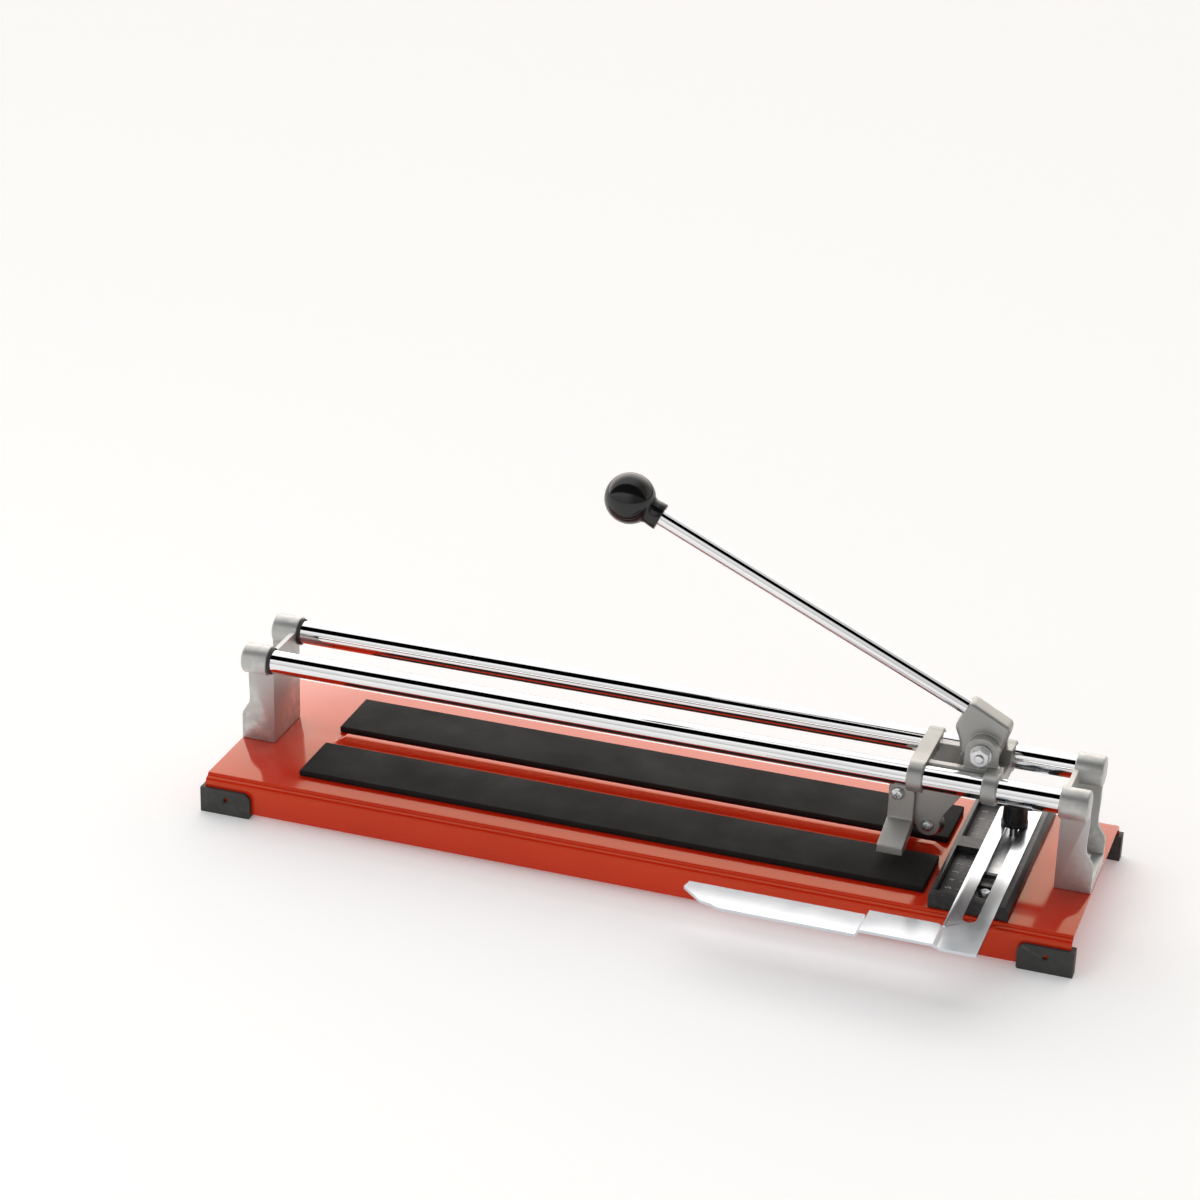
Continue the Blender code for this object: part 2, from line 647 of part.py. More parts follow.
def move_origin(obj, origin):
    """Moves an object's origin to a world point without moving its shape."""
    place = obj.matrix_world.copy()
    shift = place.inverted() @ Vector(origin)
    for vertex in obj.data.vertices:
        vertex.co -= shift
    place.translation = origin
    obj.matrix_world = place
    bpy.context.view_layer.update()


def make_guide():
    """The plastic guide: a tray for the scale on the left, a clamp channel in the middle."""
    body = box("guide_body", GUIDE_X, (-GUIDE_HALF_Y, GUIDE_HALF_Y), (BASE_TOP + GAP, GUIDE_TOP))
    bevel(body, 0.8 * MM)
    inside = WINDOW_Y[1]
    cut(body, box("tray", TRAY_X, (-inside, inside), (GUIDE_FLOOR, GUIDE_FLOOR + 3 * MM)))
    for sign in (-1, 1):
        window = sorted((sign * WINDOW_Y[0], sign * WINDOW_Y[1]))
        cut(body, box("window", TRAY_X, window, (GUIDE_FLOOR + 1 * MM, GUIDE_TOP + 5 * MM)))
    cut(body, box("channel", CHANNEL_X, (-inside, inside), (GUIDE_FLOOR, GUIDE_TOP + 5 * MM)))
    for y in CHANNEL_RIBS_Y:
        bar_x = (CHANNEL_X[0] - 1 * MM, CHANNEL_X[1] + 1 * MM)
        join_with(body, box("cross rib", bar_x, (y - 1.4 * MM, y + 1.4 * MM), (STRIP_TOP + GAP, 31.4 * MM)))
    drill_guide_holes(body)
    return finish(body, BLACK_PLASTIC)


def drill_guide_holes(obj):
    """Holes for the two guide screws and the clamp bolt, below the cross ribs."""
    drill(obj, GUIDE_SCREW_RADIUS + GAP, ARM_CENTRE_X, -GUIDE_SCREW_Y, GUIDE_DRILL_Z)
    drill(obj, GUIDE_SCREW_RADIUS + GAP, ARM_CENTRE_X, GUIDE_SCREW_Y, GUIDE_DRILL_Z)
    drill(obj, CLAMP_BOLT_RADIUS + GAP, ARM_CENTRE_X, CLAMP_Y, GUIDE_DRILL_Z)


def make_strips():
    y = WINDOW_Y[1] - GAP
    scale_z = (GUIDE_FLOOR + GAP, GUIDE_FLOOR + GAP + 1.4 * MM)
    scale_x = (TRAY_X[0] + GAP, TRAY_X[1] - GAP)
    finish(box("scale_strip", scale_x, (-y, y), scale_z, (TRAY_X[0], 0, scale_z[1])), SCALE_GREY)
    strip_x = (CHANNEL_X[0] + GAP, CHANNEL_X[1] - GAP)
    strip = box("channel_strip", strip_x, (-y, y), (GUIDE_FLOOR + GAP, STRIP_TOP), (ARM_CENTRE_X, 0, STRIP_TOP))
    drill_guide_holes(strip)
    finish(strip, ZINC)


def make_guide_screw(name, y):
    seat = STRIP_TOP + GAP
    profile = [(0, 2.5 * MM), (2.4 * MM, 2.3 * MM), (3.6 * MM, 1.2 * MM), (3.6 * MM, 0)]
    profile += [(GUIDE_SCREW_RADIUS, 0), (GUIDE_SCREW_RADIUS, -11 * MM), (0, -11 * MM)]
    return finish(turned(name, profile, (ARM_CENTRE_X, y, seat), (0, 0, 0), SMALL_FACETS), ZINC)


def make_stop_arm():
    """The side stop: a slotted arm, a link turned off it, and a pointed fence stepped down to the tile."""
    right = ARM_CENTRE_X + ARM_HALF
    left = ARM_CENTRE_X - ARM_HALF
    slot_left = ARM_CENTRE_X - ARM_SLOT_HALF
    slot_right = ARM_CENTRE_X + ARM_SLOT_HALF
    front, back = LINK_Y
    step = LINK_LEFT - 2.4 * MM
    arm = [(left, ARM_BACK - 1.5 * MM), (left, back + 0.6 * MM), (left + 1.6 * MM, back - 1.2 * MM)]
    arm += [(left, back - 2.6 * MM), (LINK_LEFT, back), (LINK_LEFT, front)]
    arm += [(left + 2 * MM, front), (left + 3.5 * MM, ARM_FRONT), (right, ARM_FRONT)]
    arm += [(right, ARM_BACK + 1.5 * MM), (slot_right + 1 * MM, ARM_BACK), (slot_right, ARM_BACK - 1 * MM)]
    arm += arc((ARM_CENTRE_X, SLOT_END), ARM_SLOT_HALF, 0, -180, 12)
    arm += [(slot_left, ARM_BACK - 2 * MM), (slot_left - 2 * MM, ARM_BACK), (left + 1.5 * MM, ARM_BACK)]
    fence = [
        (step, back),
        (FENCE_LEFT, back),
        (FENCE_LEFT - 1.2 * MM, back - 7 * MM),
        (FENCE_LEFT + 12 * MM, front + 4.5 * MM),
        (FENCE_LEFT + 23 * MM, front),
        (step, front),
    ]
    origin = Vector((ARM_CENTRE_X, CLAMP_Y, ARM_BOTTOM))
    points = [Vector((x, y, ARM_BOTTOM)) - origin for x, y in arm]
    points += [Vector((x, y, ARM_BOTTOM - FENCE_DROP)) - origin for x, y in fence]
    first = len(arm)
    last = len(points) - 1
    faces = [list(range(first)), [4, first, last, 5], list(range(first, last + 1))]
    mesh = bpy.data.meshes.new("stop_arm")
    mesh.from_pydata(points, [], faces)
    sheet = bpy.data.objects.new("stop_arm", mesh)
    sheet.location = origin
    bpy.context.scene.collection.objects.link(sheet)
    select_only(sheet)
    bpy.ops.object.mode_set(mode="EDIT")
    bpy.ops.mesh.select_all(action="SELECT")
    bpy.ops.mesh.normals_make_consistent(inside=False)
    bpy.ops.object.mode_set(mode="OBJECT")
    if mesh.polygons[0].normal.z < 0:
        mesh.flip_normals()
    modifier = sheet.modifiers.new("sheet thickness", "SOLIDIFY")
    modifier.thickness = ARM_TOP - ARM_BOTTOM
    modifier.offset = 1
    modifier.use_even_offset = True
    return finish(sheet, ZINC)


def make_clamp():
    seat = ARM_TOP + GAP
    place = (ARM_CENTRE_X, CLAMP_Y, seat)
    profile = [
        (0, KNOB_HEIGHT),
        (KNOB_TOP_RADIUS - 1.6 * MM, KNOB_HEIGHT),
        (KNOB_TOP_RADIUS, KNOB_HEIGHT - 1.6 * MM),
        (KNOB_BOTTOM_RADIUS - 0.3 * MM, 3 * MM),
        (KNOB_BOTTOM_RADIUS, 2.4 * MM),
        (KNOB_BOTTOM_RADIUS, 0),
        (CLAMP_BOLT_RADIUS + GAP, 0),
        (CLAMP_BOLT_RADIUS + GAP, 11.3 * MM),
        (0, 11.3 * MM),
    ]
    knob = turned("clamp_knob", profile, place, (0, 0, 0), 32)
    finish(knob, BLACK_PLASTIC)
    head_top = BASE_TOP - SHEET - GAP
    bolt = outline("clamp_bolt", hexagon(CLAMP_HEX_ACROSS), 1.8 * MM, (ARM_CENTRE_X, CLAMP_Y, head_top - 1.8 * MM))
    start = (ARM_CENTRE_X, CLAMP_Y, head_top - 1 * MM)
    end = (ARM_CENTRE_X, CLAMP_Y, seat + 11 * MM)
    join_with(bolt, rod("clamp shank", CLAMP_BOLT_RADIUS, start, end, SMALL_FACETS))
    finish(bolt, ZINC)


clear_file()
PARTS = make_collection("tile_cutter", False)
TOOLS = make_collection("cutting_shapes", True)
RED_PAINT = make_material("red_paint", (0.56, 0.035, 0.02), 0.28, 0)
BLACK_RUBBER = make_material("black_rubber", (0.02, 0.02, 0.019), 0.7, 0)
PAD_RUBBER = make_material("pad_rubber", (0.03, 0.028, 0.027), 0.8, 0)
BLACK_PLASTIC = make_material("black_plastic", (0.018, 0.018, 0.018), 0.45, 0)
BLACK_GLOSS = make_material("black_gloss", (0.01, 0.01, 0.01), 0.12, 0)
CAST_ALUMINIUM = make_material("cast_aluminium", (0.58, 0.58, 0.56), 0.4, 0.8)
CAST_GREY = make_material("cast_grey", (0.42, 0.42, 0.4), 0.45, 0.6)
CHROME = make_material("chrome", (0.85, 0.85, 0.85), 0.06, 1)
ZINC = make_material("zinc_plate", (0.78, 0.8, 0.82), 0.25, 1)
TOOL_STEEL = make_material("tool_steel", (0.3, 0.29, 0.28), 0.35, 1)
SCALE_GREY = make_material("scale_grey", (0.25, 0.25, 0.25), 0.4, 0.5)

make_base()
for end_name, end_side in (("left", -1), ("right", 1)):
    make_foot("foot_front_" + end_name, end_side, -1)
    make_foot("foot_back_" + end_name, end_side, 1)
    make_bracket("bracket_" + end_name, end_side)
    make_bracket_screw("bracket_screw_front_" + end_name, end_side * BRACKET_SCREW_X, -BRACKET_SCREW_Y)
    make_bracket_screw("bracket_screw_back_" + end_name, end_side * BRACKET_SCREW_X, BRACKET_SCREW_Y)
make_buffer("buffer_front", -TUBE_Y)
make_buffer("buffer_back", TUBE_Y)
make_pad("pad_front", PAD_FRONT_Y)
make_pad("pad_back", PAD_BACK_Y)
make_tube("tube_front", -TUBE_Y)
make_tube("tube_back", TUBE_Y)
make_carriage()
make_lever_head()
make_pivot_set()
make_handle()
make_wheel()
make_cross_screw("wheel_screw", WHEEL_AXLE, BLADE_HALF + GAP, BLADE_HALF + 1 * MM)
make_breaker_foot()
make_cross_screw("breaker_screw", BREAKER_PIVOT, CHEEK_OUTER + GAP, CHEEK_OUTER + 1 * MM)
make_guide()
make_strips()
make_guide_screw("guide_screw_front", -GUIDE_SCREW_Y)
make_guide_screw("guide_screw_back", GUIDE_SCREW_Y)
make_stop_arm()
make_clamp()
for piece in list(PARTS.objects) + list(TOOLS.objects):
    piece.location.y += CENTRE_SHIFT
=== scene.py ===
import json
import math

import bpy
from mathutils import Matrix, Vector


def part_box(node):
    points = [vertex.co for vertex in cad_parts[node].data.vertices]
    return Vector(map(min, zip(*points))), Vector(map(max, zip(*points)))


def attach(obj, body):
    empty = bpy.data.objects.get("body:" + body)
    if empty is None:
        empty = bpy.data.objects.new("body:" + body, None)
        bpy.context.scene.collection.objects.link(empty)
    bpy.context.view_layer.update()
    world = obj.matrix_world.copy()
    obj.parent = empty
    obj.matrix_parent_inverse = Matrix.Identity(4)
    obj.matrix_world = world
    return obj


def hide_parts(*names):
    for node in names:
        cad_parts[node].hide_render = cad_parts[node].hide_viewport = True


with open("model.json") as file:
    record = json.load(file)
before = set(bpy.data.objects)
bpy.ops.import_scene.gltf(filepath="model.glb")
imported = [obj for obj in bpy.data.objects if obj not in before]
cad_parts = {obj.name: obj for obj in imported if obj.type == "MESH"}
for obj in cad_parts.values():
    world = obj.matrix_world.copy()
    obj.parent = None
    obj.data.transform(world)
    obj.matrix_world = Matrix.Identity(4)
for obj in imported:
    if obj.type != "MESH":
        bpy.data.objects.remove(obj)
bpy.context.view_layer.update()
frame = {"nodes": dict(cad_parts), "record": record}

MM = 0.001

# Sizes that the frame doesn't give directly
SHEET = 2 * MM
RIB_HEIGHT = 4 * MM
RIB_CREST = 2.4 * MM
RIB_FOOT = 6.6 * MM
RIB_RAMP = 6.4 * MM
BRACKET_OUTER = 265 * MM
LEG_HALF = 20 * MM
LEG_WALL = 3 * MM
SOCKET_RADIUS = 9.4 * MM
BRACKET_FLOOR = 32 * MM
ROD_RADIUS = 5 * MM
ROD_TILT = math.radians(24.9)
SCREW_HEAD = 3.8 * MM
SCREW_SHANK = 2 * MM
AXLE_HOLE = 2.3 * MM
CAST_GRAIN = 0.42 * MM

# The fold down each long side of the base: how far out and down each step goes
FOLD_STEPS = ((1.0 * MM, 1.7 * MM), (1.6 * MM, 0.6 * MM), (1.3 * MM, 1.1 * MM), (0.5 * MM, 1.8 * MM))
FOLD_DEPTH = sum(out for out, down in FOLD_STEPS)

# A pan head's dome, in shares of its radius and height
PAN_DOME = ((1, 0.35), (0.93, 0.62), (0.76, 0.86), (0.4, 1))

# How far a cutter stands past a face, how near two points count as level, and as one
PAST = 5 * MM
NEAR = 0.01 * MM
DOUBLED = 0.005 * MM


def middle(node):
    low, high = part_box(node)
    return (low + high) / 2


CUT_LINE = middle("cutting_wheel").y
JOINTS = {joint["name"]: joint for joint in frame["record"]["behaviour"]["joints"]}
PIVOT = Vector(JOINTS["lever_hinge"]["pos_m"])
WHEEL = middle("cutting_wheel")
BREAKER = Vector(JOINTS["breaker_hinge"]["pos_m"])
TUBE = middle("tube_front")
TUBE_RADIUS = (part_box("tube_front")[1].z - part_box("tube_front")[0].z) / 2
TUBE_APART = middle("tube_back").y - CUT_LINE
ACROSS = Vector((0, 1, 0))
UP = Vector((0, 0, 1))
ALONG = Vector((1, 0, 0))
BACK_ALONG_ROD = Vector((-math.cos(ROD_TILT), 0, math.sin(ROD_TILT)))
VIEWS = {"X": (math.pi / 2, 0, math.pi / 2), "Y": (math.pi / 2, 0, 0), "Z": (0, 0, 0)}


def at(x, y, z):
    """A point in millimetres, with y measured from the cut line."""
    return Vector((x * MM, CUT_LINE + y * MM, z * MM))


ROD_ENTRY = at(185.3, 0, 120.75)


# ---- modelling by hand

def deselect_all():
    if bpy.context.mode != "OBJECT":
        bpy.ops.object.mode_set(mode="OBJECT")
    bpy.ops.object.select_all(action="DESELECT")


def pick(obj):
    deselect_all()
    obj.select_set(True)
    bpy.context.view_layer.objects.active = obj


def settle(obj):
    """Leaves the piece's place in its mesh, with its object at the origin."""
    pick(obj)
    bpy.ops.object.transform_apply(location=True, rotation=True, scale=True)
    return obj


def named(name):
    obj = bpy.context.object
    obj.name = name
    return settle(obj)


def block(name, low, high):
    low, high = Vector(low), Vector(high)
    deselect_all()
    bpy.ops.mesh.primitive_cube_add(size=1, location=(low + high) / 2, scale=high - low)
    return named(name)


def cross_block(name, x, half, z):
    """A block from x[0] to x[1] and z[0] to z[1], reaching half to each side of the cut line."""
    return block(name, (x[0], CUT_LINE - half, z[0]), (x[1], CUT_LINE + half, z[1]))


def bar(name, radius, start, end, sides):
    run = Vector(end) - Vector(start)
    deselect_all()
    bpy.ops.mesh.primitive_cylinder_add(
        vertices=sides,
        radius=radius,
        depth=run.length,
        location=Vector(start) + run / 2,
        rotation=run.to_track_quat("Z", "Y").to_euler(),
    )
    return named(name)


def cross_bar(name, radius, centre, half, sides):
    """A bar level with the centre, reaching half to each side of the cut line."""
    centre = Vector((centre.x, CUT_LINE, centre.z))
    return bar(name, radius, centre - half * ACROSS, centre + half * ACROSS, sides)


def turned(name, rings, foot, direction, sides):
    """Turns a piece up from its foot: each ring is a radius and a height above the foot."""
    deselect_all()
    radius, height = rings[0]
    bpy.ops.mesh.primitive_circle_add(vertices=sides, radius=radius, fill_type="NGON")
    obj = bpy.context.object
    bpy.ops.object.mode_set(mode="EDIT")
    bpy.ops.transform.translate(value=(0, 0, height))
    for wider, higher in rings[1:]:
        push_out(0, 0, higher - height)
        factor = wider / radius
        bpy.ops.transform.resize(value=(factor, factor, 1), center_override=(0, 0, higher))
        radius, height = wider, higher
    bpy.ops.object.mode_set(mode="OBJECT")
    outward(obj)
    obj.rotation_euler = Vector(direction).to_track_quat("Z", "Y").to_euler()
    obj.location = foot
    return named(name)


def round_rings(radius, length, edge):
    """The rings of a plain round piece with its two edges turned off."""
    return [(radius - edge, 0), (radius, edge), (radius, length - edge), (radius - edge, length)]


def plate(name, outline, half, centre, across):
    """A flat outline, thickened evenly both ways.

    Across is Y for a side view, X for an end view and Z for a plan.
    """
    curve = bpy.data.curves.new(name, "CURVE")
    curve.dimensions = "2D"
    curve.fill_mode = "BOTH"
    curve.extrude = half
    spline = curve.splines.new("POLY")
    spline.points.add(len(outline) - 1)
    for corner, (u, v) in zip(spline.points, outline):
        corner.co = (u, v, 0, 1)
    spline.use_cyclic_u = True
    obj = bpy.data.objects.new(name, curve)
    bpy.context.scene.collection.objects.link(obj)
    obj.location = centre
    obj.rotation_euler = VIEWS[across]
    pick(obj)
    bpy.ops.object.convert(target="MESH")
    return outward(join_doubled(settle(bpy.context.object)))


def arc(centre, radius, start, end, steps):
    points = []
    for step in range(steps + 1):
        angle = math.radians(start + (end - start) * step / steps)
        points.append((centre[0] + radius * math.cos(angle), centre[1] + radius * math.sin(angle)))
    return points


def apply(obj, kind, **settings):
    pick(obj)
    modifier = obj.modifiers.new(kind.title(), kind)
    for key, value in settings.items():
        setattr(modifier, key, value)
    bpy.ops.object.modifier_apply(modifier=modifier.name)
    return obj


def soften(obj, width, segments, angle):
    """Rounds every edge that is sharper than the angle."""
    return apply(obj, "BEVEL", width=width, segments=segments, limit_method="ANGLE",
                 angle_limit=math.radians(angle), harden_normals=False)


def discard(obj):
    mesh = obj.data
    bpy.data.objects.remove(obj)
    bpy.data.meshes.remove(mesh)


def combine(obj, operation, tools):
    for tool in tools:
        apply(obj, "BOOLEAN", operation=operation, solver="EXACT", object=tool)
        discard(tool)
    return obj


def carve(obj, *tools):
    return combine(obj, "DIFFERENCE", tools)


def fuse(obj, *tools):
    return combine(obj, "UNION", tools)


def trim(obj, *tools):
    return combine(obj, "INTERSECT", tools)


def cast(obj, grain, rounds):
    """Gives a joined shape the soft edges and fillets of a casting."""
    pick(obj)
    obj.data.remesh_voxel_size = grain
    obj.data.use_remesh_fix_poles = False
    bpy.ops.object.voxel_remesh()
    apply(obj, "SMOOTH", factor=0.5, iterations=rounds)
    bpy.ops.object.shade_smooth()
    return obj


def open_chosen(obj, edges=(), faces=()):
    """Opens the piece in edit mode with only these of its edges or faces chosen."""
    deselect_all()
    mesh = obj.data
    for parts, chosen in ((mesh.vertices, ()), (mesh.edges, edges), (mesh.polygons, faces)):
        parts.foreach_set("select", chosen or [False] * len(parts))
    pick(obj)
    bpy.context.tool_settings.mesh_select_mode = (False, bool(edges), bool(faces))
    bpy.ops.object.mode_set(mode="EDIT")


def edit_faces(obj, test):
    """Chooses the faces whose centre and normal pass the test."""
    open_chosen(obj, faces=[bool(test(face.center, face.normal)) for face in obj.data.polygons])


def edit_edges(obj, test):
    """Chooses the edges whose two ends pass the test."""
    points = [vertex.co for vertex in obj.data.vertices]
    chosen = [bool(test(points[edge.vertices[0]], points[edge.vertices[1]])) for edge in obj.data.edges]
    open_chosen(obj, edges=chosen)


def raise_chosen(obj, height):
    bpy.ops.transform.translate(value=(0, 0, height))
    bpy.ops.object.mode_set(mode="OBJECT")
    return obj


def push_out(x, y, z):
    bpy.ops.mesh.extrude_region_move(TRANSFORM_OT_translate={"value": (x, y, z)})


def edit_all(obj):
    """Opens the piece in edit mode with all of it chosen."""
    pick(obj)
    bpy.ops.object.mode_set(mode="EDIT")
    bpy.ops.mesh.select_all(action="SELECT")


def slice_at(obj, point, normal):
    """Adds a line of edges right across the piece."""
    edit_all(obj)
    bpy.ops.mesh.bisect(plane_co=point, plane_no=normal)
    bpy.ops.object.mode_set(mode="OBJECT")


def join_doubled(obj):
    edit_all(obj)
    bpy.ops.mesh.remove_doubles(threshold=DOUBLED)
    bpy.ops.object.mode_set(mode="OBJECT")
    return obj


def outward(obj):
    """Turns every face of the piece outwards."""
    edit_all(obj)
    bpy.ops.mesh.normals_make_consistent(inside=False)
    bpy.ops.object.mode_set(mode="OBJECT")
    return obj


def mirror_of(obj, name, across_x, across_y):
    """A copy with its own mesh, mirrored about the middle of the base."""
    made = obj.copy()
    made.data = obj.data.copy()
    made.name = name
    bpy.context.scene.collection.objects.link(made)
    line = Matrix.Translation((0, CUT_LINE, 0))
    turn = Matrix.Diagonal((-1 if across_x else 1, -1 if across_y else 1, 1, 1))
    made.matrix_world = line @ turn @ line.inverted()
    return outward(settle(made))


def join(name, pieces):
    deselect_all()
    for piece in pieces:
        piece.select_set(True)
    bpy.context.view_layer.objects.active = pieces[0]
    bpy.ops.object.join()
    return named(name)


def hand_over(obj, name, finish, body, nodes=(), smooth=35):
    """A finished piece: its name, finish, shading, the body it moves with and the nodes it stands for."""
    settle(obj)
    obj.name = name
    if smooth:
        bpy.ops.object.shade_smooth_by_angle(angle=math.radians(smooth))
    obj.data.materials.clear()
    obj.data.materials.append(finish)
    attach(obj, body)
    if nodes:
        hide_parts(*nodes)
    return obj


# ---- finishes

def effect(name, inputs, outputs):
    """An empty shader group with number sockets."""
    group = bpy.data.node_groups.new(name, "ShaderNodeTree")
    for label, value in inputs:
        socket = group.interface.new_socket(name=label, in_out="INPUT", socket_type="NodeSocketFloat")
        socket.default_value = value
    for label in outputs:
        group.interface.new_socket(name=label, in_out="OUTPUT", socket_type="NodeSocketFloat")
    return group, group.nodes.new("NodeGroupInput"), group.nodes.new("NodeGroupOutput")


def noise(tree, vector, scale, detail):
    node = tree.nodes.new("ShaderNodeTexNoise")
    node.inputs["Detail"].default_value = detail
    node.inputs["Roughness"].default_value = 0.55
    if isinstance(scale, (int, float)):
        node.inputs["Scale"].default_value = scale
    else:
        tree.links.new(scale, node.inputs["Scale"])
    tree.links.new(vector, node.inputs["Vector"])
    return node.outputs["Fac"]


def ramp(tree, value, low, high, start=0.0, end=1.0):
    node = tree.nodes.new("ShaderNodeMapRange")
    node.inputs["From Min"].default_value = low
    node.inputs["From Max"].default_value = high
    node.inputs["To Min"].default_value = start
    node.inputs["To Max"].default_value = end
    tree.links.new(value, node.inputs["Value"])
    return node.outputs["Result"]


def math_node(tree, operation, first, second):
    node = tree.nodes.new("ShaderNodeMath")
    node.operation = operation
    for index, value in enumerate((first, second)):
        if isinstance(value, (int, float)):
            node.inputs[index].default_value = value
        else:
            tree.links.new(value, node.inputs[index])
    return node.outputs[0]


def build_skin():
    """Fine surface grain: a height, and a slow cloud that shifts colour and gloss."""
    group, given, taken = effect("surface skin", [("Grain", 900), ("Cloud", 22)], ["Height", "Cloud"])
    place = group.nodes.new("ShaderNodeTexCoord").outputs["Object"]
    fine = noise(group, place, given.outputs["Grain"], 3)
    cloud = noise(group, place, given.outputs["Cloud"], 4)
    group.links.new(fine, taken.inputs["Height"])
    group.links.new(ramp(group, cloud, 0.3, 0.7), taken.inputs["Cloud"])
    return group


def build_wear():
    """Edges rubbed by use, broken up by noise, and thin scuffs on the flats."""
    group, given, taken = effect("rubbed edges", [("Breakup", 160)], ["Edges", "Scuffs"])
    place = group.nodes.new("ShaderNodeTexCoord").outputs["Object"]
    sharp = group.nodes.new("ShaderNodeNewGeometry").outputs["Pointiness"]
    edges = ramp(group, sharp, 0.53, 0.6)
    patches = ramp(group, noise(group, place, given.outputs["Breakup"], 4), 0.42, 0.62)
    group.links.new(math_node(group, "MULTIPLY", edges, patches), taken.inputs["Edges"])
    stretch = group.nodes.new("ShaderNodeMapping")
    stretch.inputs["Scale"].default_value = (14, 700, 700)
    stretch.inputs["Rotation"].default_value = (0, 0.2, 0.35)
    group.links.new(place, stretch.inputs["Vector"])
    streaks = ramp(group, noise(group, stretch.outputs["Vector"], 1, 2), 0.68, 0.74)
    zones = ramp(group, noise(group, place, 45, 2), 0.5, 0.62)
    group.links.new(math_node(group, "MULTIPLY", streaks, zones), taken.inputs["Scuffs"])
    return group


def build_lines():
    """Fine drawn lines along X, as on rolled or polished metal."""
    group, given, taken = effect("drawn lines", [("Along", 12), ("Across", 1400)], ["Lines"])
    place = group.nodes.new("ShaderNodeTexCoord").outputs["Object"]
    scale = group.nodes.new("ShaderNodeCombineXYZ")
    group.links.new(given.outputs["Along"], scale.inputs["X"])
    group.links.new(given.outputs["Across"], scale.inputs["Y"])
    group.links.new(given.outputs["Across"], scale.inputs["Z"])
    stretch = group.nodes.new("ShaderNodeVectorMath")
    stretch.operation = "MULTIPLY"
    group.links.new(place, stretch.inputs[0])
    group.links.new(scale.outputs["Vector"], stretch.inputs[1])
    group.links.new(noise(group, stretch.outputs["Vector"], 1, 2), taken.inputs["Lines"])
    return group


SKIN = build_skin()
WEAR = build_wear()
LINES = build_lines()


class Finish:
    """One material being made: its tree, its shader and the effects placed in it."""

    def __init__(self, name, slot, roughness, metallic):
        self.material = bpy.data.materials.new(name)
        self.material.use_nodes = True
        self.tree = self.material.node_tree
        self.shader = self.tree.nodes["Principled BSDF"]
        self.shader.inputs["Roughness"].default_value = roughness
        self.shader.inputs["Metallic"].default_value = metallic

    def place(self, group, **values):
        node = self.tree.nodes.new("ShaderNodeGroup")
        node.node_tree = group
        for label, value in values.items():
            node.inputs[label].default_value = value
        return node.outputs

    def tint(self, factor, first, second):
        """A colour between two, by a mask: first and second are colours or colour outputs."""
        node = self.tree.nodes.new("ShaderNodeMix")
        node.data_type = "RGBA"
        self.tree.links.new(factor, node.inputs["Factor"])
        for label, colour in (("A", first), ("B", second)):
            socket = next(s for s in node.inputs if s.name == label and s.type == "RGBA")
            if isinstance(colour, tuple):
                socket.default_value = (*colour, 1)
            else:
                self.tree.links.new(colour, socket)
        return next(s for s in node.outputs if s.type == "RGBA")

    def colour(self, output):
        self.tree.links.new(output, self.shader.inputs["Base Color"])

    def rub(self, mask, share, body, bare):
        """The body colour, with a share of the bare one where the mask is."""
        self.colour(self.tint(self.times(mask, share), body, bare))

    def gloss(self, value, rough, smooth):
        """Roughness that runs from rough to smooth as the value goes from 0 to 1."""
        self.tree.links.new(ramp(self.tree, value, 0, 1, rough, smooth), self.shader.inputs["Roughness"])

    def relief(self, height, depth):
        node = self.tree.nodes.new("ShaderNodeBump")
        node.inputs["Strength"].default_value = 1
        node.inputs["Distance"].default_value = depth
        self.tree.links.new(height, node.inputs["Height"])
        self.tree.links.new(node.outputs["Normal"], self.shader.inputs["Normal"])

    def add(self, first, second):
        return math_node(self.tree, "ADD", first, second)

    def times(self, first, second):
        return math_node(self.tree, "MULTIPLY", first, second)


def red_enamel():
    finish = Finish("red enamel", "red_paint", 0.3, 0)
    skin = finish.place(SKIN, Grain=260, Cloud=9)
    wear = finish.place(WEAR, Breakup=120)
    body = finish.tint(skin["Cloud"], (0.60, 0.018, 0.005), (0.66, 0.024, 0.006))
    finish.rub(wear["Edges"], 0.2, body, (0.42, 0.05, 0.03))
    finish.gloss(skin["Cloud"], 0.13, 0.09)
    finish.relief(skin["Height"], 0.004 * MM)
    finish.shader.inputs["IOR"].default_value = 1.5
    finish.shader.inputs["Specular Tint"].default_value = (1, 0.95, 0.5, 1)
    return finish.material


def moulded_rubber():
    finish = Finish("moulded rubber", "black_rubber", 0.6, 0)
    skin = finish.place(SKIN, Grain=1600, Cloud=60)
    wear = finish.place(WEAR, Breakup=300)
    body = finish.tint(skin["Cloud"], (0.028, 0.028, 0.026), (0.036, 0.036, 0.034))
    finish.rub(wear["Edges"], 0.6, body, (0.09, 0.09, 0.085))
    finish.gloss(skin["Cloud"], 0.68, 0.52)
    finish.relief(skin["Height"], 0.06 * MM)
    return finish.material


def pad_sheet():
    finish = Finish("pad sheet rubber", "pad_rubber", 0.7, 0)
    skin = finish.place(SKIN, Grain=1100, Cloud=30)
    wear = finish.place(WEAR, Breakup=90)
    body = finish.tint(skin["Cloud"], (0.015, 0.014, 0.014), (0.02, 0.019, 0.018))
    finish.rub(wear["Scuffs"], 0.3, body, (0.05, 0.048, 0.046))
    finish.gloss(skin["Cloud"], 0.78, 0.66)
    finish.shader.inputs["Specular IOR Level"].default_value = 0.12
    finish.relief(skin["Height"], 0.08 * MM)
    return finish.material


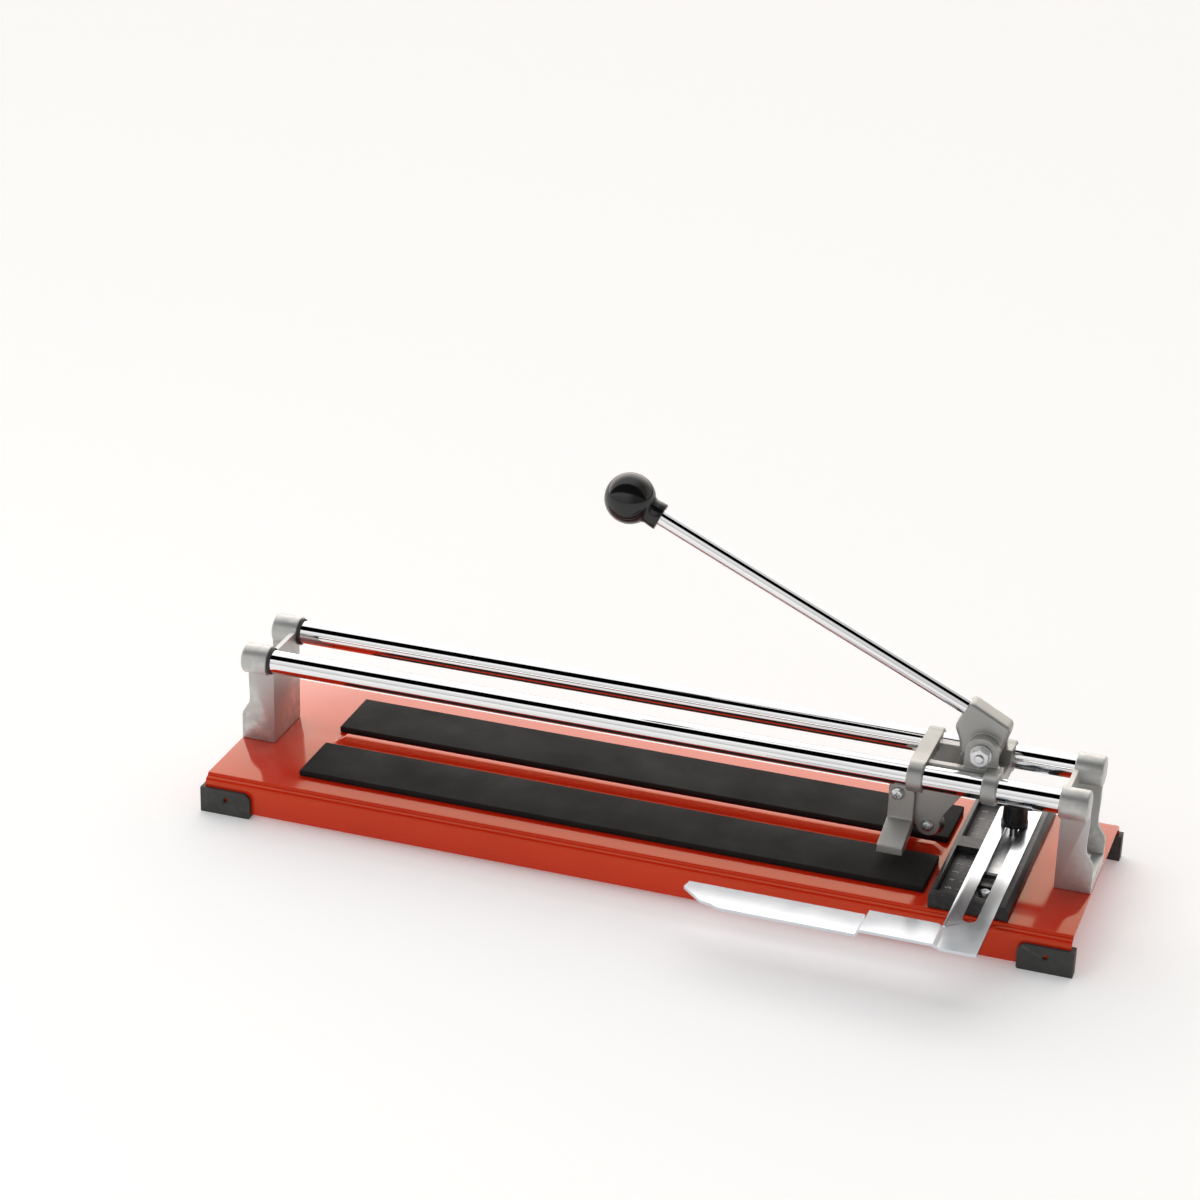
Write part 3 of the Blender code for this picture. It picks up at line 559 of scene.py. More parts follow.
def die_casting(name, slot, dark, light):
    """Tumbled die-cast metal with a fine sandy skin, shinier where hands rub it."""
    roughness = 0.42
    finish = Finish(name, slot, roughness, 0.7)
    skin = finish.place(SKIN, Grain=1300, Cloud=38)
    wear = finish.place(WEAR, Breakup=200)
    body = finish.tint(skin["Cloud"], dark, light)
    finish.rub(wear["Edges"], 0.7, body, (0.82, 0.82, 0.8))
    shine = finish.add(finish.times(skin["Cloud"], 0.6), wear["Edges"])
    finish.gloss(shine, roughness + 0.06, roughness - 0.1)
    finish.relief(skin["Height"], 0.06 * MM)
    return finish.material


def chrome_plate():
    finish = Finish("chrome plate", "chrome", 0.05, 1)
    skin = finish.place(SKIN, Grain=500, Cloud=14)
    lines = finish.place(LINES, Along=30, Across=2200)
    finish.colour(finish.tint(skin["Cloud"], (0.80, 0.80, 0.81), (0.87, 0.87, 0.87)))
    finish.gloss(finish.times(finish.add(skin["Cloud"], lines["Lines"]), 0.5), 0.03, 0.09)
    finish.relief(lines["Lines"], 0.0006 * MM)
    return finish.material


def zinc_sheet():
    finish = Finish("bright zinc sheet", "zinc_plate", 0.2, 1)
    skin = finish.place(SKIN, Grain=700, Cloud=45)
    wear = finish.place(WEAR, Breakup=200)
    lines = finish.place(LINES, Along=40, Across=1500)
    body = finish.tint(skin["Cloud"], (0.60, 0.64, 0.69), (0.67, 0.70, 0.74))
    finish.rub(wear["Scuffs"], 0.2, body, (0.6, 0.63, 0.68))
    finish.gloss(finish.times(finish.add(skin["Cloud"], lines["Lines"]), 0.5), 0.17, 0.22)
    finish.relief(lines["Lines"], 0.001 * MM)
    return finish.material


def zinc_fastener():
    finish = Finish("zinc fastener", "zinc_plate", 0.25, 1)
    skin = finish.place(SKIN, Grain=1500, Cloud=180)
    wear = finish.place(WEAR, Breakup=500)
    body = finish.tint(skin["Cloud"], (0.62, 0.64, 0.66), (0.78, 0.79, 0.8))
    finish.rub(wear["Edges"], 0.6, body, (0.9, 0.9, 0.88))
    finish.gloss(skin["Cloud"], 0.42, 0.3)
    finish.relief(skin["Height"], 0.01 * MM)
    return finish.material


def grained_plastic():
    finish = Finish("grained black plastic", "black_plastic", 0.42, 0)
    skin = finish.place(SKIN, Grain=2000, Cloud=50)
    wear = finish.place(WEAR, Breakup=260)
    body = finish.tint(skin["Cloud"], (0.007, 0.007, 0.007), (0.012, 0.012, 0.012))
    finish.rub(wear["Edges"], 0.4, body, (0.05, 0.05, 0.05))
    finish.gloss(skin["Cloud"], 0.4, 0.28)
    finish.shader.inputs["Specular IOR Level"].default_value = 0.35
    finish.relief(skin["Height"], 0.03 * MM)
    return finish.material


def polished_black():
    finish = Finish("polished black knob", "black_gloss", 0.1, 0)
    skin = finish.place(SKIN, Grain=300, Cloud=40)
    wear = finish.place(WEAR, Breakup=200)
    finish.rub(wear["Scuffs"], 0.5, (0.008, 0.008, 0.008), (0.03, 0.03, 0.03))
    finish.gloss(skin["Cloud"], 0.14, 0.08)
    finish.relief(skin["Height"], 0.008 * MM)
    return finish.material


def hardened_steel():
    finish = Finish("hardened wheel steel", "tool_steel", 0.3, 1)
    skin = finish.place(SKIN, Grain=1200, Cloud=150)
    wear = finish.place(WEAR, Breakup=400)
    body = finish.tint(skin["Cloud"], (0.16, 0.155, 0.15), (0.26, 0.25, 0.24))
    finish.rub(wear["Edges"], 0.8, body, (0.7, 0.7, 0.7))
    finish.gloss(skin["Cloud"], 0.4, 0.24)
    finish.relief(skin["Height"], 0.02 * MM)
    return finish.material


def rule_face():
    finish = Finish("grey rule face", "scale_grey", 0.4, 0.3)
    skin = finish.place(SKIN, Grain=1500, Cloud=60)
    lines = finish.place(LINES, Along=600, Across=60)
    finish.colour(finish.tint(skin["Cloud"], (0.055, 0.055, 0.056), (0.085, 0.085, 0.086)))
    finish.gloss(lines["Lines"], 0.5, 0.34)
    finish.relief(skin["Height"], 0.02 * MM)
    return finish.material


def rule_marks():
    finish = Finish("pale rule marks", "scale_grey", 0.5, 0)
    skin = finish.place(SKIN, Grain=1500, Cloud=120)
    finish.colour(finish.tint(skin["Cloud"], (0.34, 0.34, 0.34), (0.5, 0.5, 0.5)))
    finish.gloss(skin["Cloud"], 0.6, 0.45)
    return finish.material


RED = red_enamel()
RUBBER = moulded_rubber()
PAD = pad_sheet()
PALE = (0.50, 0.50, 0.485), (0.57, 0.57, 0.555)
GREY = (0.38, 0.378, 0.36), (0.44, 0.438, 0.42)
BRACKET_CASTING = die_casting("pale bracket casting", "cast_aluminium", *PALE)
CARRIAGE_CASTING = die_casting("grey carriage casting", "cast_grey", *GREY)
CHROME = chrome_plate()
ZINC = zinc_sheet()
FASTENER = zinc_fastener()
PLASTIC = grained_plastic()
KNOB = polished_black()
WHEEL_STEEL = hardened_steel()
RULE = rule_face()
MARKS = rule_marks()


# ---- base, feet and pads

def make_base():
    """One bent sheet: a flat top with a pressed rib, and a stepped fold down each long side."""
    low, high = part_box("base_plate")
    top = high.z - RIB_HEIGHT
    fold = (high.y - low.y) / 2 - FOLD_DEPTH
    deselect_all()
    bpy.ops.mesh.primitive_plane_add(size=1, location=(0, CUT_LINE, top))
    bpy.context.object.scale = (high.x - low.x, 2 * fold, 1)
    sheet = named("base sheet")
    start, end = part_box("pad_front")[0].x + 2 * MM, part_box("pad_front")[1].x
    for x in (start, start + RIB_RAMP, end - RIB_RAMP, end):
        slice_at(sheet, (x, 0, 0), ALONG)
    for y in (-RIB_FOOT, -RIB_CREST, RIB_CREST, RIB_FOOT):
        slice_at(sheet, (0, CUT_LINE + y, 0), ACROSS)
    crest = (start + RIB_RAMP, end - RIB_RAMP)
    edit_faces(sheet, lambda c, n: abs(c.y - CUT_LINE) < RIB_CREST and crest[0] < c.x < crest[1])
    raise_chosen(sheet, RIB_HEIGHT)
    flange = top - low.z - sum(down for out, down in FOLD_STEPS)
    for side in (-1, 1):
        edge = CUT_LINE + side * fold
        edit_edges(sheet, lambda a, b: abs(a.y - edge) < NEAR and abs(b.y - edge) < NEAR)
        for out, down in FOLD_STEPS + ((0, flange),):
            push_out(0, side * out, -down)
        bpy.ops.object.mode_set(mode="OBJECT")
    outward(sheet)
    if sheet.data.polygons[0].normal.z < 0:
        sheet.data.flip_normals()
    soften(sheet, 0.7 * MM, 3, 8)
    apply(sheet, "SOLIDIFY", thickness=SHEET, offset=-1, use_even_offset=True)
    soften(sheet, 0.25 * MM, 2, 60)
    hand_over(sheet, "painted_base", RED, "base", ["base_plate"], 30)


def make_feet():
    """A moulded corner foot, made once at the front right and mirrored to the other corners."""
    low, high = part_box("foot_front_right")
    flange_low, flange_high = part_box("base_plate")
    corner = 5 * MM
    toe = 1.5 * MM
    outline = [(high.x, low.z), (high.x, high.z)]
    outline += arc((low.x + corner, high.z - corner), corner, 90, 180, 10)
    outline += arc((low.x + toe, low.z + toe), toe, 180, 270, 5)
    foot = plate("foot", outline, (high.y - low.y) / 2, (0, (low.y + high.y) / 2, 0), "Y")
    soften(foot, 0.9 * MM, 4, 30)
    gap = 0.15 * MM
    slot_low = (low.x - PAST, flange_low.y - gap, flange_low.z - gap)
    slot_high = (flange_high.x + gap, flange_low.y + SHEET + gap, high.z + PAST)
    carve(foot, block("slot", slot_low, slot_high))
    hole = Vector(((low.x + high.x) / 2, low.y, low.z + 0.6 * (high.z - low.z)))
    carve(foot, bar("hole", 1.5 * MM, hole - 3 * MM * ACROSS, hole + 2.4 * MM * ACROSS, 32))
    mouth = [(2.4 * MM, -1 * MM), (2.4 * MM, 0.1 * MM), (1.4 * MM, 0.9 * MM)]
    carve(foot, turned("countersink", mouth, hole, ACROSS, 32))
    places = (("front_left", True, False), ("back_left", True, True), ("back_right", False, True))
    for where, mirror_x, mirror_y in places:
        other = mirror_of(foot, "foot", mirror_x, mirror_y)
        hand_over(other, "rubber_foot_" + where, RUBBER, "base", ["foot_" + where])
    hand_over(foot, "rubber_foot_front_right", RUBBER, "base", ["foot_front_right"])


def make_pads():
    for where in ("front", "back"):
        low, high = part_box("pad_" + where)
        pad = block("pad", low, high)
        edit_faces(pad, lambda c, n: n.z > 0.5)
        bpy.ops.mesh.inset(thickness=1.1 * MM)
        raise_chosen(pad, 0.15 * MM)
        soften(pad, 0.5 * MM, 3, 30)
        hand_over(pad, "tile_pad_" + where, PAD, "base", ["pad_" + where])


# ---- tubes and brackets

def make_tubes():
    for where in ("front", "back"):
        low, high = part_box("tube_" + where)
        centre = (low + high) / 2
        start = Vector((low.x, centre.y, centre.z))
        tube = turned("tube", round_rings(TUBE_RADIUS, high.x - low.x, 0.6 * MM), start, ALONG, 128)
        hand_over(tube, "slide_tube_" + where, CHROME, "base", ["tube_" + where])


def make_bracket():
    """The right-hand end bracket, then its mirror image on the left."""
    low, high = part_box("bracket_right")
    inner, flare, floor = low.x, high.x, low.z
    waist = 40 * MM
    curl = 7 * MM
    outline = [(inner, floor), (flare, floor), (flare, waist)]
    outline += arc((flare - curl, waist), curl, 8, 40, 4)
    for inset, height in ((0.1, 50), (0.5, 54), (0, 66)):
        outline.append((BRACKET_OUTER - inset * MM, height * MM))
    outline += [(BRACKET_OUTER, TUBE.z), (inner, TUBE.z)]
    body = plate("bracket", outline, LEG_HALF, (0, CUT_LINE, 0), "Y")
    hollow_x = (inner + LEG_WALL, flare + PAST)
    carve(body, cross_block("hollow", hollow_x, LEG_HALF - LEG_WALL, (BRACKET_FLOOR, TUBE.z + PAST)))
    fuse(body, cross_block("web", (inner, inner + LEG_WALL), LEG_HALF, (TUBE.z - 8 * MM, 86 * MM)))
    length = BRACKET_OUTER - inner
    edge = 0.5 * MM
    lip = 1.3 * MM
    rings = [(SOCKET_RADIUS - edge, 0), (SOCKET_RADIUS, edge), (SOCKET_RADIUS, length - lip)]
    rings += [(SOCKET_RADIUS - 0.35 * lip, length - 0.35 * lip), (SOCKET_RADIUS - lip, length)]
    mouths = [Vector((inner, CUT_LINE + side * TUBE_APART, TUBE.z)) for side in (-1, 1)]
    for mouth in mouths:
        fuse(body, turned("socket", rings, mouth, ALONG, 96))
    soften(body, 0.7 * MM, 3, 50)
    for mouth in mouths:
        end = Vector((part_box("tube_front")[1].x + 0.3 * MM, mouth.y, mouth.z))
        carve(body, bar("bore", TUBE_RADIUS + 0.2 * MM, mouth - 3 * MM * ALONG, end, 96))
    other = mirror_of(body, "bracket", True, False)
    hand_over(other, "end_bracket_left", BRACKET_CASTING, "base", ["bracket_left"])
    hand_over(body, "end_bracket_right", BRACKET_CASTING, "base", ["bracket_right"])


def cross_recess(width, depth, foot, direction):
    """The cutter for a cross slot in a screw head, pointing down into it."""
    arms = []
    turn = Vector(direction).to_track_quat("Z", "Y").to_matrix().to_4x4()
    for across, along in ((0.3, 1), (1, 0.3)):
        half = Vector((width * across / 2, width * along / 2, depth))
        arm = block("arm", (-half.x, -half.y, -half.z), (half.x, half.y, half.z))
        edit_faces(arm, lambda c, n: n.z < -0.5)
        bpy.ops.transform.resize(value=(0.55, 0.55, 1), center_override=(0, 0, -half.z))
        bpy.ops.object.mode_set(mode="OBJECT")
        arm.matrix_world = Matrix.Translation(foot) @ turn
        arms.append(settle(arm))
    fuse(arms[0], arms[1])
    return arms[0]


def make_screw(name, node, head, height, length, seat, direction, body, shank=SCREW_SHANK):
    """A pan-head screw with a cross recess, its head standing on the seat."""
    rings = [(shank * 0.75, -length), (shank, -length + 0.6 * MM), (shank, 0), (head, 0.02 * MM)]
    rings += [(head * wide, up * height) for wide, up in PAN_DOME]
    screw = turned("screw", rings, seat, direction, 40)
    top = Vector(seat) + height * Vector(direction)
    carve(screw, cross_recess(head * 1.25, 0.8 * height, top, direction))
    soften(screw, 0.08 * MM, 2, 50)
    hand_over(screw, name, FASTENER, body, [node], 30)


def make_bracket_screws():
    head_height = 3 * MM
    for end in ("left", "right"):
        for where in ("front", "back"):
            node = f"bracket_screw_{where}_{end}"
            low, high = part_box(node)
            seat = Vector((middle(node).x, middle(node).y, high.z - head_height))
            make_screw("base_" + node, node, SCREW_HEAD, head_height, seat.z - low.z, seat, UP, "base")


def make_buffers():
    """Thin rubber rings on the tubes, against the left sockets."""
    for where in ("front", "back"):
        node = "buffer_" + where
        low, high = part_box(node)
        foot = Vector((low.x, middle(node).y, middle(node).z))
        ring = turned("ring", round_rings((high.z - low.z) / 2, high.x - low.x, 0.4 * MM), foot, ALONG, 64)
        carve(ring, bar("bore", TUBE_RADIUS + 0.15 * MM, foot - PAST * ALONG, foot + PAST * ALONG, 64))
        hand_over(ring, "tube_ring_" + where, RUBBER, "base", [node])


# ---- carriage and lever

def make_carriage():
    """Four collars, two cross members, two side bars and two pivot lugs, cast in one."""
    low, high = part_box("carriage")
    collar = (high.y - low.y) / 2 - TUBE_APART
    left = (low.x, low.x + 9.6 * MM)
    right = (high.x - 9.2 * MM, high.x)
    top = TUBE.z + 9.2 * MM
    body = cross_block("carriage", left, TUBE_APART, (top - 7.7 * MM, top))
    fuse(body, cross_block("right member", right, TUBE_APART, (76 * MM, top)))
    for start, end in (left, right):
        for side in (-1, 1):
            foot = (start, CUT_LINE + side * TUBE_APART, TUBE.z)
            fuse(body, turned("collar", round_rings(collar, end - start, 0.6 * MM), foot, ALONG, 72))
    room = 11.2 * MM
    lug = 10 * MM
    lug_end = right[1] - 1 * MM
    for side in (-1, 1):
        y0, y1 = sorted((CUT_LINE + side * room, CUT_LINE + side * 16 * MM))
        fuse(body, block("side bar", (left[0] + 2 * MM, y0, 77 * MM), (right[1] - 2 * MM, y1, 89 * MM)))
        eye = arc((PIVOT.x, PIVOT.z), lug, 12, 180, 24)
        eye += [(PIVOT.x - lug, 86 * MM), (PIVOT.x - 13 * MM, 80 * MM), (lug_end, 80 * MM)]
        eye += [(lug_end, 88 * MM), (right[1] - 3.5 * MM, 93 * MM)]
        fuse(body, plate("lug", eye, 2.5 * MM, (0, CUT_LINE + side * 12 * MM, 0), "Y"))
    room_x = (right[0] - PAST, right[1] + PAST)
    carve(body, cross_block("lever room", room_x, room, (83.6 * MM, top + PAST)))
    for side in (-1, 1):
        start = Vector((left[0] - PAST, CUT_LINE + side * TUBE_APART, TUBE.z))
        end = Vector((right[1] + PAST, start.y, start.z))
        carve(body, bar("slide bore", TUBE_RADIUS + 0.3 * MM, start, end, 96))
    carve(body, cross_bar("bolt bore", 3.3 * MM, PIVOT, 30 * MM, 48))
    cast(body, CAST_GRAIN, 6)
    hand_over(body, "cast_carriage", CARRIAGE_CASTING, "carriage", ["carriage"], 0)


def make_lever_head():
    """Rod socket and head above the pivot, boss, and the blade plate that holds the wheel."""
    low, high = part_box("lever_head")
    head = [(187.3, 127.4), (178.9, 110.1), (182.4, 101), (183, 93)]
    head += [(206.2, 94), (207.2, 98.5), (211.2, 108.5), (212.2, 114.4)]
    outline = [(x * MM, z * MM) for x, z in head]
    body = plate("lever", outline, 6.8 * MM, (0, CUT_LINE, 0), "Y")
    soften(body, 2.6 * MM, 4, 30)
    fuse(body, cross_bar("boss", 9.6 * MM, PIVOT, (high.y - low.y) / 2, 72))
    blade = [(205 * MM, 92 * MM), (198.5 * MM, 79 * MM), (185.4 * MM, 63.5 * MM), (176.6 * MM, 50 * MM)]
    blade += arc((WHEEL.x, WHEEL.z), 7.2 * MM, 20, -160, 16)
    blade += [(157.5 * MM, 50 * MM), (153 * MM, 55.2 * MM)]
    blade += arc((BREAKER.x, BREAKER.z), 6.8 * MM, 290, 100, 18)
    blade += [(160 * MM, 68.5 * MM), (171 * MM, 72.5 * MM), (180 * MM, 81 * MM), (184 * MM, 93 * MM)]
    fuse(body, plate("blade", blade, 4.8 * MM, (0, CUT_LINE, 0), "Y"))
    socket_start = ROD_ENTRY - 20 * MM * BACK_ALONG_ROD
    socket_end = ROD_ENTRY + 12 * MM * BACK_ALONG_ROD
    carve(body, bar("rod socket", ROD_RADIUS + 0.2 * MM, socket_start, socket_end, 64))
    for centre, radius in ((PIVOT, 3.3 * MM), (WHEEL, AXLE_HOLE), (BREAKER, AXLE_HOLE)):
        carve(body, cross_bar("cross hole", radius, centre, 20 * MM, 32))
    carve(body, cross_bar("wheel room", 10.2 * MM, WHEEL, 1.9 * MM, 72))
    cast(body, CAST_GRAIN, 5)
    hand_over(body, "cast_lever_head", CARRIAGE_CASTING, "lever", ["lever_head"], 0)


def make_handle():
    """The plated rod up from the lever head, and the ball on its end."""
    ball = ROD_ENTRY + 233 * MM * BACK_ALONG_ROD
    start = ROD_ENTRY - 20 * MM * BACK_ALONG_ROD
    rings = [(ROD_RADIUS - 0.6 * MM, 0), (ROD_RADIUS, 0.6 * MM), (ROD_RADIUS, (ball - start).length)]
    rod = turned("rod", rings, start, BACK_ALONG_ROD, 96)
    hand_over(rod, "handle_bar", CHROME, "lever", ["handle_rod"])
    radius = 15.4 * MM
    rings = [(5.3 * MM, -21.5 * MM), (7.9 * MM, -21.5 * MM), (8.4 * MM, -21 * MM), (8.1 * MM, -16.5 * MM)]
    rings += [(7.9 * MM, -14.6 * MM)] + arc((0, 0), radius, -56, 89, 31)
    knob = turned("ball", rings, ball, BACK_ALONG_ROD, 96)
    hand_over(knob, "ball_grip", KNOB, "lever", ["ball_knob"], 50)


def make_pivot_set():
    """Bolt, washer and nut through the two lugs, the nut to the front."""
    low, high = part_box("pivot_washer")
    seat = Vector((PIVOT.x, high.y, PIVOT.z))
    rings = round_rings((high.z - low.z) / 2, high.y - low.y, 0.2 * MM)
    washer = turned("washer", rings, seat, -ACROSS, 64)
    hand_over(washer, "bolt_washer", FASTENER, "carriage", ["pivot_washer"])
    low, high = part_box("pivot_nut")
    make_hexagon("bolt_nut", "pivot_nut", Vector((PIVOT.x, high.y, PIVOT.z)), high.y - low.y, -ACROSS)
    low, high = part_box("pivot_bolt")
    head_height = 4 * MM
    tail = Vector((PIVOT.x, low.y, PIVOT.z))
    head = Vector((PIVOT.x, high.y - head_height, PIVOT.z))
    rings = [(2.3 * MM, 0), (3 * MM, 0.7 * MM), (3 * MM, (head - tail).length + 1 * MM)]
    shank = turned("shank", rings, tail, ACROSS, 40)
    make_hexagon("hex_bolt", "pivot_bolt", head, head_height, ACROSS, shank)


def make_hexagon(name, node, seat, height, direction, shank=None):
    """A hexagon nut, or with a shank a bolt, its corners turned off at both ends."""
    corner = 10 * MM / math.sqrt(3)
    outer = corner + 0.1 * MM
    inner = 4.75 * MM
    slope = 0.55 * MM
    nut = turned("hexagon", [(corner, 0), (corner, height)], seat, direction, 6)
    rings = [(inner, -NEAR), (outer, slope), (outer, height - slope), (inner, height + NEAR)]
    trim(nut, turned("round off", rings, seat, direction, 72))
    if shank:
        fuse(nut, shank)
    else:
        carve(nut, bar("bore", 3.05 * MM, seat - 2 * MM * direction, seat + 9 * MM * direction, 40))
    soften(nut, 0.12 * MM, 2, 35)
    hand_over(nut, name, FASTENER, "carriage", [node], 30)


def make_wheel():
    """The scoring wheel: a hub, a hollowed web and a rim that slopes to its edge on both sides."""
    low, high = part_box("cutting_wheel")
    radius = (high.z - low.z) / 2
    half = (high.y - low.y) / 2
    side = [(4.6 * MM, half), (4.4 * MM, half * 0.86), (2.3 * MM, half * 0.86), (2.1 * MM, half * 0.95)]
    side += [(0, 0.08 * MM)]
    rings = [(radius - inset, -width) for inset, width in side]
    rings += [(radius - inset, width) for inset, width in reversed(side)]
    wheel = turned("wheel", rings, WHEEL, ACROSS, 96)
    carve(wheel, cross_bar("bore", 2.1 * MM, WHEEL, PAST, 40))
    hand_over(wheel, "scoring_wheel", WHEEL_STEEL, "wheel", ["cutting_wheel"], 20)


def make_lever_screws():
    screws = (("wheel_axle_screw", "wheel_screw", WHEEL), ("foot_axle_screw", "breaker_screw", BREAKER))
    head_height = 3.1 * MM
    for name, node, centre in screws:
        low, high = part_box(node)
        seat = Vector((centre.x, low.y + head_height, centre.z))
        make_screw(name, node, SCREW_HEAD, head_height, high.y - seat.y, seat, -ACROSS, "lever")


def make_breaker_foot():
    """Two cheeks beside the blade, a bridge between them and two broad wings that press the tile."""
    low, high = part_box("breaker_foot")
    reach = high.y - CUT_LINE
    slit = 5.3 * MM
    cheek = 9.2 * MM
    side = [(reach, low.z), (reach, low.z + 5 * MM), (cheek, 45.2 * MM), (cheek, high.z)]
    side += [(slit, high.z), (slit, 52.2 * MM)]
    under = [(-22 * MM, low.z), (-5 * MM, 38.5 * MM), (5 * MM, 38.5 * MM), (22 * MM, low.z)]
    outline = under + side + [(-y, z) for y, z in reversed(side)]
    body = plate("foot", outline, (high.x - low.x) / 2, ((low.x + high.x) / 2, CUT_LINE, 0), "X")
    carve(body, cross_block("wheel notch", (low.x + 6 * MM, high.x + PAST), slit, (30 * MM, 60 * MM)))
    turn = 7 * MM
    corner_x = (high.x - turn, high.x + PAST)
    corner = cross_block("rounded off", corner_x, reach + PAST, (BREAKER.z, high.z + PAST))
    eye = Vector((high.x - turn, 0, BREAKER.z - 1 * MM))
    carve(corner, cross_bar("eye", turn, eye, reach + 6 * MM, 64))
    carve(body, corner)
    carve(body, cross_bar("screw hole", AXLE_HOLE, BREAKER, 20 * MM, 32))
    cast(body, 0.36 * MM, 5)
    hand_over(body, "cast_breaker_foot", CARRIAGE_CASTING, "breaker", ["breaker_foot"], 0)


# ---- guide and side stop

def make_guide():
    """The plastic guide: a sunk tray for the rule, a clamp channel, and a ledge with a sloping edge."""
    low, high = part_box("guide_body")
    tray_low, tray_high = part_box("scale_strip")
    channel_low, channel_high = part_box("channel_strip")
    body = block("guide", low, high)
    slice_at(body, (high.x - 2.6 * MM, 0, 0), ALONG)
    edit_edges(body, lambda a, b: min(a.x, b.x) > high.x - NEAR and min(a.z, b.z) > high.z - NEAR)
    raise_chosen(body, -3.4 * MM)
    soften(body, 0.5 * MM, 3, 25)
    gap = 0.3 * MM
    bridge = 6.5 * MM
    for y0, y1 in ((tray_low.y, CUT_LINE - bridge), (CUT_LINE + bridge, tray_high.y)):
        well = block("window", (tray_low.x - gap, y0, tray_low.z), (tray_high.x + gap, y1, high.z + PAST))
        edit_faces(well, lambda c, n: n.z > 0.5)
        centre = (tray_low.x / 2 + tray_high.x / 2, (y0 + y1) / 2, 0)
        bpy.ops.transform.resize(value=(1.06, 1.012, 1), center_override=centre)
        bpy.ops.object.mode_set(mode="OBJECT")
        carve(body, well)
    way_x = (tray_low.x - 0.1 * MM, tray_high.x + 0.1 * MM)
    way_z = (tray_low.z, tray_high.z + 0.2 * MM)
    carve(body, cross_block("rule way", way_x, bridge + 1 * MM, way_z))
    around = Vector((gap, gap, gap))
    channel_top = (channel_high.x + gap, channel_high.y + gap, high.z + PAST)
    carve(body, block("channel", channel_low - around, channel_top))
    for y in (-30.6, -44.7):
        rib_low = at(channel_low.x / MM - 1, y - 1.4, channel_high.z / MM + 0.3)
        fuse(body, block("cross rib", rib_low, at(channel_high.x / MM + 1, y + 1.4, 31.4)))
    soften(body, 0.22 * MM, 2, 50)
    hand_over(body, "plastic_guide", PLASTIC, "base", ["guide_body"], 30)


def make_rule():
    """The rule in the tray: a thin strip, a raised mark at each mm, longer at 5 and 10, and numbers."""
    low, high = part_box("scale_strip")
    strip = block("rule", low, high)
    soften(strip, 0.15 * MM, 2, 40)
    hand_over(strip, "rule_strip", RULE, "base", ["scale_strip"])
    marks = []
    thick = 0.06 * MM
    half_width = 0.16 * MM
    edge = high.x - 0.6 * MM
    for tick in range(-61, 62):
        if abs(tick) < 8:
            continue
        y = CUT_LINE + tick * MM
        reach = (6 if tick % 10 == 0 else 4.6 if tick % 5 == 0 else 3.2) * MM
        mark_low = (edge - reach, y - half_width, high.z - thick)
        marks.append(block("mark", mark_low, (edge, y + half_width, high.z + thick)))
        if tick % 10 == 0 and abs(tick) < 60:
            marks.append(make_numeral(str(abs(tick) // 10), (low.x + 4.6 * MM, y, high.z - thick), thick))
    row = join("marks", marks)
    hand_over(row, "rule_marks", MARKS, "base")


def make_numeral(text, place, thick):
    deselect_all()
    bpy.ops.object.text_add(location=place, rotation=(0, 0, math.pi / 2))
    obj = bpy.context.object
    obj.data.body = text
    obj.data.size = 5.2 * MM
    obj.data.extrude = thick
    obj.data.align_x = "CENTER"
    obj.data.align_y = "CENTER"
    obj.data.resolution_u = 3
    obj.location.z += thick
    bpy.ops.object.convert(target="MESH")
    return join_doubled(named("numeral"))


def make_channel_strip():
    """The metal strip sunk in the channel, and the two screws that hold it."""
    low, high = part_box("channel_strip")
    strip = block("strip", low, high)
    edit_faces(strip, lambda c, n: n.z > 0.5)
    bpy.ops.mesh.inset(thickness=1.2 * MM)
    raise_chosen(strip, -0.35 * MM)
    soften(strip, 0.15 * MM, 2, 40)
    hand_over(strip, "channel_plate", FASTENER, "base", ["channel_strip"])
    head_height = 2.5 * MM
    for where in ("front", "back"):
        node = "guide_screw_" + where
        low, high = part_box(node)
        seat = Vector((middle(node).x, middle(node).y, high.z - head_height))
        name = "channel_screw_" + where
        make_screw(name, node, 3.6 * MM, head_height, seat.z - low.z, seat, UP, "base", 1.8 * MM)


